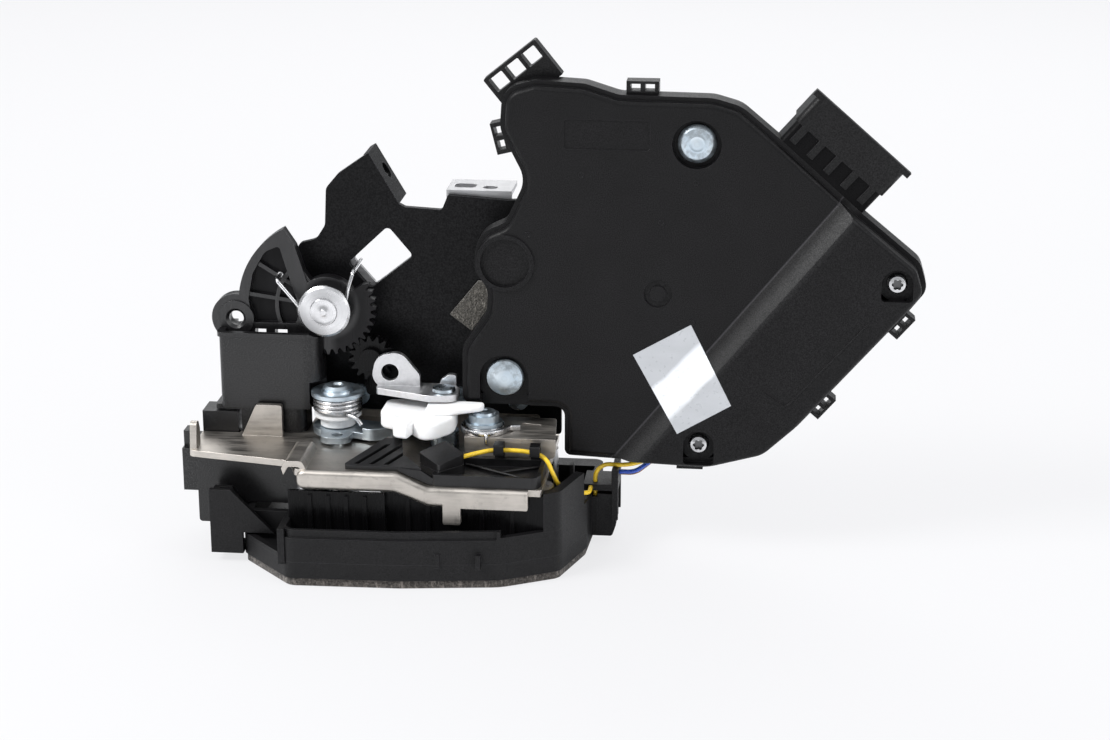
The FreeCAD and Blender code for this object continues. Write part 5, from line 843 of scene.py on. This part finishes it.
class LATCH_OT_springs(bpy.types.Operator):
    """Wind the springs on the pins and the flat spiral on the platform"""
    bl_idname = "latch.springs"
    bl_label = "Wound springs"

    def execute(self, context):
        s = settings("latch_springs")
        left_spring(s.left_radius / MM, s.left_wire / MM)
        lever_spring(s.lever_radius / MM, s.lever_wire / MM)
        latch_springs(s.latch_wire / MM)
        spiral_spring(s.strip / MM)
        return {"FINISHED"}


def left_spring(radius, wire):
    """Coil under the left cap; its leg drops over the intermediate lever."""
    x, y = LEFT_PIN
    z = BUSH_TOP + wire / 2
    coil = helix(LEFT_PIN, "xy", radius, LEFT_START, LEFT_START + 360 * LEFT_TURNS, z,
                 z + LEFT_TURNS * wire * COIL_PITCH)
    leg = [(x + a, y + b, z + c) for a, b, c in LEFT_LEG]
    wound_spring("left_coil", "lever_spring", leg, coil, [], wire)


def lever_spring(radius, wire):
    """Coil behind the bright cup: one leg hooks into the lever, the other is
    held in the window."""
    y = LEVER_SPRING_Y
    first, last = LEVER_ANGLES
    coil = helix(LEVER_PIN, "xz", radius, first, last, y, y + (last - first) / 360 * wire * COIL_PITCH)
    hx, hz = SPRING_HOLE
    (ax, az), (bx, bz) = WINDOW_LEG
    far = coil[-1][1]
    hooked = [(hx, y + HOLE_DEPTH, hz), (hx, y, hz)]
    held = [(ax, far, az), (bx, far + 1.4, bz), (bx, WINDOW_DEPTH, bz)]
    piece = wound_spring("lever_coil", "outside_lever_spring", hooked, coil, held, wire, body=None)
    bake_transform(piece)


def latch_springs(wire):
    """Coils of the claw and the pawl inside the casing, with their straight legs."""
    for name, node, pin, shaft, seat, way, reach in LATCH_COILS:
        x, y = pin
        r, z = shaft + wire, seat + wire / 2
        coil = helix(pin, "xy", r, 90 + way * 360 * LATCH_TURNS, 90, z, z + LATCH_TURNS * wire * COIL_PITCH)
        wound_spring(name, node, [], coil, [(x + reach, y + r, coil[-1][2])], wire)


def spiral_spring(strip):
    """Flat spiral on the platform: the radius grows evenly with the angle; its end runs out to the
    right and its hook holds the platform's front edge."""
    x, y = RIGHT_PIN
    z = PLATFORM_TOP + SPIRAL_SEAT
    t = np.linspace(-SPIRAL_TURNS * 2 * math.pi, 0.0, SPIRAL_POINTS)
    r = SPIRAL_INNER + (t - t[0]) / (-t[0]) * SPIRAL_GROWTH
    turn = t - SPIRAL_PHASE
    spiral = np.stack([x + r * np.cos(turn), y + r * np.sin(turn), np.full(len(t), z)], axis=-1)
    tail = round_path([tuple(spiral[-1]), (x + 8.0, y - 0.4, z), (x + 11.0, y + 0.2, z)], 1.5)[1:]
    rows = strip_rows(np.vstack([spiral, tail]), strip, SPIRAL_HEIGHT)
    piece = surface("spiral_strip", rows, "base", MATERIALS["spring_wire"], caps=True, smooth=50.0)
    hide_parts("spiral_spring")
    hook_x, hook_y = x + 1.6, PLATFORM_EDGE - 0.8
    hook = [(hook_x, y - 6.2, z), (hook_x, hook_y, z), (hook_x, hook_y, z - 2.8)]
    wire_piece("spiral_hook", round_path(hook, 0.9), HOOK_RADIUS, "base")


def crown_rows(centre, radius, height, power, bead=0.0):
    """Crowned rivet head, closed at its back: the face stands height (1 - (r / radius)^power) before
    the rim, with a bead of exp(-((r - 2.3) / 0.35)^2) round its middle."""
    share = np.linspace(0.0, 1.0, 24)
    ring = bead * np.exp(-((share * radius - 2.3) / 0.35) ** 2)
    face = RIVET_FACE + 0.02 - height * (1.0 - share ** power) - ring
    back = [[radius, RIVET_BACK], [0.0, RIVET_BACK]]
    return lathe_rows(np.vstack([np.stack([share * radius, face], axis=-1), back]), centre, 72)


class LATCH_OT_heads(bpy.types.Operator):
    """Crowned faces of the two large rivets and the dished cup on the lever's pin"""
    bl_idname = "latch.heads"
    bl_label = "Rivet heads"

    def execute(self, context):
        crown = settings("latch_marks").crown / MM
        zinc = MATERIALS["rivet_zinc"]
        surface("rivet_crown_b", crown_rows(RIVETS[1], 5.35, crown, 2.4), "base", zinc)
        cup = lathe_rows(np.array(CUP_PROFILE) + (0.0, CUP_SEAT), LEVER_PIN, 96)
        piece = surface("cup_face", cup, "outside_lever", MATERIALS["lever_zinc"], smooth=30.0)
        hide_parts("spring_cup")
        surface("rivet_crown_a", crown_rows(RIVETS[0], 4.55, 0.35 * crown, 3.0, 0.16), "base", zinc)
        return {"FINISHED"}


def label_rows(film):
    """Sticker on the cover: points (1-u)(1-v) a + u(1-v) b + uv c + (1-u)v d of the picture's plane,
    thrown from the camera's eye onto y = cover_height(x, z) - film, with its rim turned back."""
    eye, right, up, _ = view_axes()
    u, v = np.meshgrid(*[np.linspace(0, 1, LABEL_GRID)] * 2, indexing="ij")
    shares = ((1 - u) * (1 - v), u * (1 - v), u * v, (1 - u) * v)
    flat = sum(share[..., None] * np.array(corner) for share, corner in zip(shares, LABEL_CORNERS))
    run = np.array(VIEW_AIM) + flat[..., :1] * right + flat[..., 1:] * up - eye
    y = np.full(u.shape, RAISED_FACE / 2)
    for _ in range(12):
        points = eye + run * ((y - eye[1]) / run[..., 1])[..., None]
        y = cover_height(points[..., 0], points[..., 2]) - film
    rim = np.pad(points, ((1, 1), (1, 1), (0, 0)), mode="edge")
    rim[[0, -1], :, 1] += film * 0.9
    rim[1:-1, [0, -1], 1] += film * 0.9
    return rim


class LATCH_OT_label(bpy.types.Operator):
    """Blank sticker laid over the cover's sloping strip"""
    bl_idname = "latch.label"
    bl_label = "Label"

    def execute(self, context):
        rows = label_rows(settings("latch_marks").film / MM)
        piece = surface("label_film", rows, "base", MATERIALS["label"], wrap=False, smooth=60.0)
        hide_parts("blank_label")
        return {"FINISHED"}


class LATCH_OT_nylon(bpy.types.Operator):
    """White moulded lever with soft edges and its tapering arm"""
    bl_idname = "latch.nylon"
    bl_label = "White lever"

    def execute(self, context):
        edge = settings("latch_marks").nylon_round / MM
        piece = nylon_slab("nylon_lever", NYLON_LEVER, 35.6, NYLON_TOP, edge, 2.6)
        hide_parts("locking_lever")
        nylon_slab("nylon_arm", NYLON_ARM, NYLON_TOP - 0.2, 43.2, edge * 0.7, 1.6, 0.035)
        nylon_slab("nylon_finger", NYLON_FINGER, 36.4, NYLON_TOP, edge * 0.8, 1.4)
        return {"FINISHED"}


class LATCH_OT_cover_marks(bpy.types.Operator):
    """Fine moulded marks on the cover: ejector marks and the thin bead"""
    bl_idname = "latch.cover_marks"
    bl_label = "Cover marks"

    def execute(self, context):
        s = settings("latch_marks")
        plastic = MATERIALS["cover_plastic"]
        r = s.ejector / MM
        face = COVER_FACE - 0.01
        profile = [(0.0, face - 0.03), (r, face - 0.03), (r + 0.12, face - 0.16),
                   (r + 0.3, face - 0.16), (r + 0.42, face + 0.02), (0.0, face + 0.02)]
        for k, centre in enumerate(EJECTORS):
            surface("ejector_mark_%d" % k, lathe_rows(profile, centre, 40), "base", plastic)
        path = round_path([(x, RAISED_FACE - 0.02, z) for x, z in BEAD_LINE], 2.0)
        rows = tube_rows(path, s.bead / MM, 10, (0.0, 1.0, 0.0))
        surface("cover_bead", rows, "base", plastic, caps=True)
        return {"FINISHED"}


class LATCH_OT_stage(bpy.types.Operator):
    """Pale floor, white surroundings, soft lamps and the camera"""
    bl_idname = "latch.stage"
    bl_label = "Stage"

    def execute(self, context):
        make_floor()
        make_world()
        make_lamps()
        make_camera()
        return {"FINISHED"}


def make_floor():
    """Level floor just under the part, partly lit by itself to the camera so that it looks pale."""
    h, z = FLOOR_HALF, CAD_LOW.z - FLOOR_GAP
    mesh = bpy.data.meshes.new("floor")
    mesh.from_pydata([(-h, -h, z), (h, -h, z), (h, h, z), (-h, h, z)], [], [(0, 1, 2, 3)])
    floor = linked("floor", mesh)
    material = bpy.data.materials.new("pale_floor")
    material.use_nodes = True
    tree = material.node_tree
    shader = tree.nodes["Principled BSDF"]
    shader.inputs["Base Color"].default_value = FLOOR_COLOUR
    shader.inputs["Roughness"].default_value = 0.9
    glow = add_node(tree, "ShaderNodeEmission", {"Strength": 1.0, "Color": FLOOR_GLOW})
    rays = add_node(tree, "ShaderNodeLightPath", {})
    share = add_node(tree, "ShaderNodeMath", {1: FLOOR_GLOW_SHARE}, operation="MULTIPLY")
    tree.links.new(rays.outputs["Is Camera Ray"], share.inputs[0])
    mix_shaders(tree, share.outputs[0], shader, glow, tree.nodes["Material Output"])
    mesh.materials.append(material)


def mix_shaders(tree, factor, first, second, out):
    """Joins the mix of two shaders to the surface of the output."""
    mixed = add_node(tree, "ShaderNodeMixShader", {})
    for k, socket in enumerate((factor, first.outputs[0], second.outputs[0])):
        tree.links.new(socket, mixed.inputs[k])
    tree.links.new(mixed.outputs[0], out.inputs["Surface"])


def make_world():
    """White to the camera; to the part a soft sky that is brighter overhead."""
    world = bpy.data.worlds.new("studio")
    bpy.context.scene.world = world
    world.use_nodes = True
    tree = world.node_tree
    tree.nodes.clear()
    place = add_node(tree, "ShaderNodeTexCoord", {})
    parts = add_node(tree, "ShaderNodeSeparateXYZ", {})
    low, high = SKY_STRENGTH
    rise = add_node(tree, "ShaderNodeMapRange", {"From Min": -0.1, "From Max": 0.9, "To Min": low,
                                                 "To Max": high})
    tree.links.new(place.outputs["Generated"], parts.inputs[0])
    tree.links.new(parts.outputs["Z"], rise.inputs["Value"])
    soft = add_node(tree, "ShaderNodeBackground", {"Color": SKY_COLOUR})
    tree.links.new(rise.outputs["Result"], soft.inputs["Strength"])
    white = add_node(tree, "ShaderNodeBackground", {"Color": BACKDROP, "Strength": 1.0})
    rays = add_node(tree, "ShaderNodeLightPath", {})
    out = add_node(tree, "ShaderNodeOutputWorld", {})
    mix_shaders(tree, rays.outputs["Is Camera Ray"], soft, white, out)


def make_lamps():
    """Soft rectangular lamps, all turned to the middle of the part."""
    for name, place, size, power in LAMPS:
        data = bpy.data.lights.new(name, "AREA")
        data.shape = "RECTANGLE"
        data.size, data.size_y = size
        data.energy = power
        made = linked(name, data)
        made.location = place
        made.rotation_euler = (Vector(LAMP_AIM) - Vector(place)).to_track_quat("-Z", "Y").to_euler()


def make_camera():
    """Camera at the eye of view_axes, looking along minus back."""
    data = bpy.data.cameras.new("camera")
    data.sensor_width = SENSOR
    data.lens = SENSOR * FOCAL_PIXELS / PICTURE_W
    data.clip_start, data.clip_end = 0.01, 20.0
    camera = linked("camera", data)
    eye, _, _, back = view_axes()
    camera.location = Vector(eye * MM)
    camera.rotation_euler = Vector(-back).to_track_quat("-Z", "Y").to_euler()
    bpy.context.scene.camera = camera
    bpy.context.scene.view_settings.view_transform = "Standard"


class LATCH_PT_panel(bpy.types.Panel):
    """Settings and pieces of the latch"""
    bl_idname = "LATCH_PT_panel"
    bl_label = "Door latch actuator"
    bl_space_type = "VIEW_3D"
    bl_region_type = "UI"
    bl_category = "Latch"

    def draw(self, context):
        for group, owner in GROUPS.items():
            box = self.layout.box()
            for key in owner.__annotations__:
                box.prop(getattr(context.scene, group), key)
        for operator in STEPS:
            self.layout.operator(operator.bl_idname)


GROUPS = {"latch_finishes": LatchFinishes, "latch_springs": LatchSprings, "latch_marks": LatchMarks}
STEPS = (LATCH_OT_finishes, LATCH_OT_springs, LATCH_OT_heads, LATCH_OT_label, LATCH_OT_nylon,
         LATCH_OT_cover_marks, LATCH_OT_stage)


def register():
    for owner in (*GROUPS.values(), *STEPS, LATCH_PT_panel):
        bpy.utils.register_class(owner)
    for name, owner in GROUPS.items():
        setattr(bpy.types.Scene, name, bpy.props.PointerProperty(type=owner))


def unregister():
    for name in GROUPS:
        delattr(bpy.types.Scene, name)
    for owner in reversed((*GROUPS.values(), *STEPS, LATCH_PT_panel)):
        bpy.utils.unregister_class(owner)


def main():
    register()
    for operator in STEPS:
        group, name = operator.bl_idname.split(".")
        getattr(getattr(bpy.ops, group), name)()


if __name__ == "__main__":
    main()
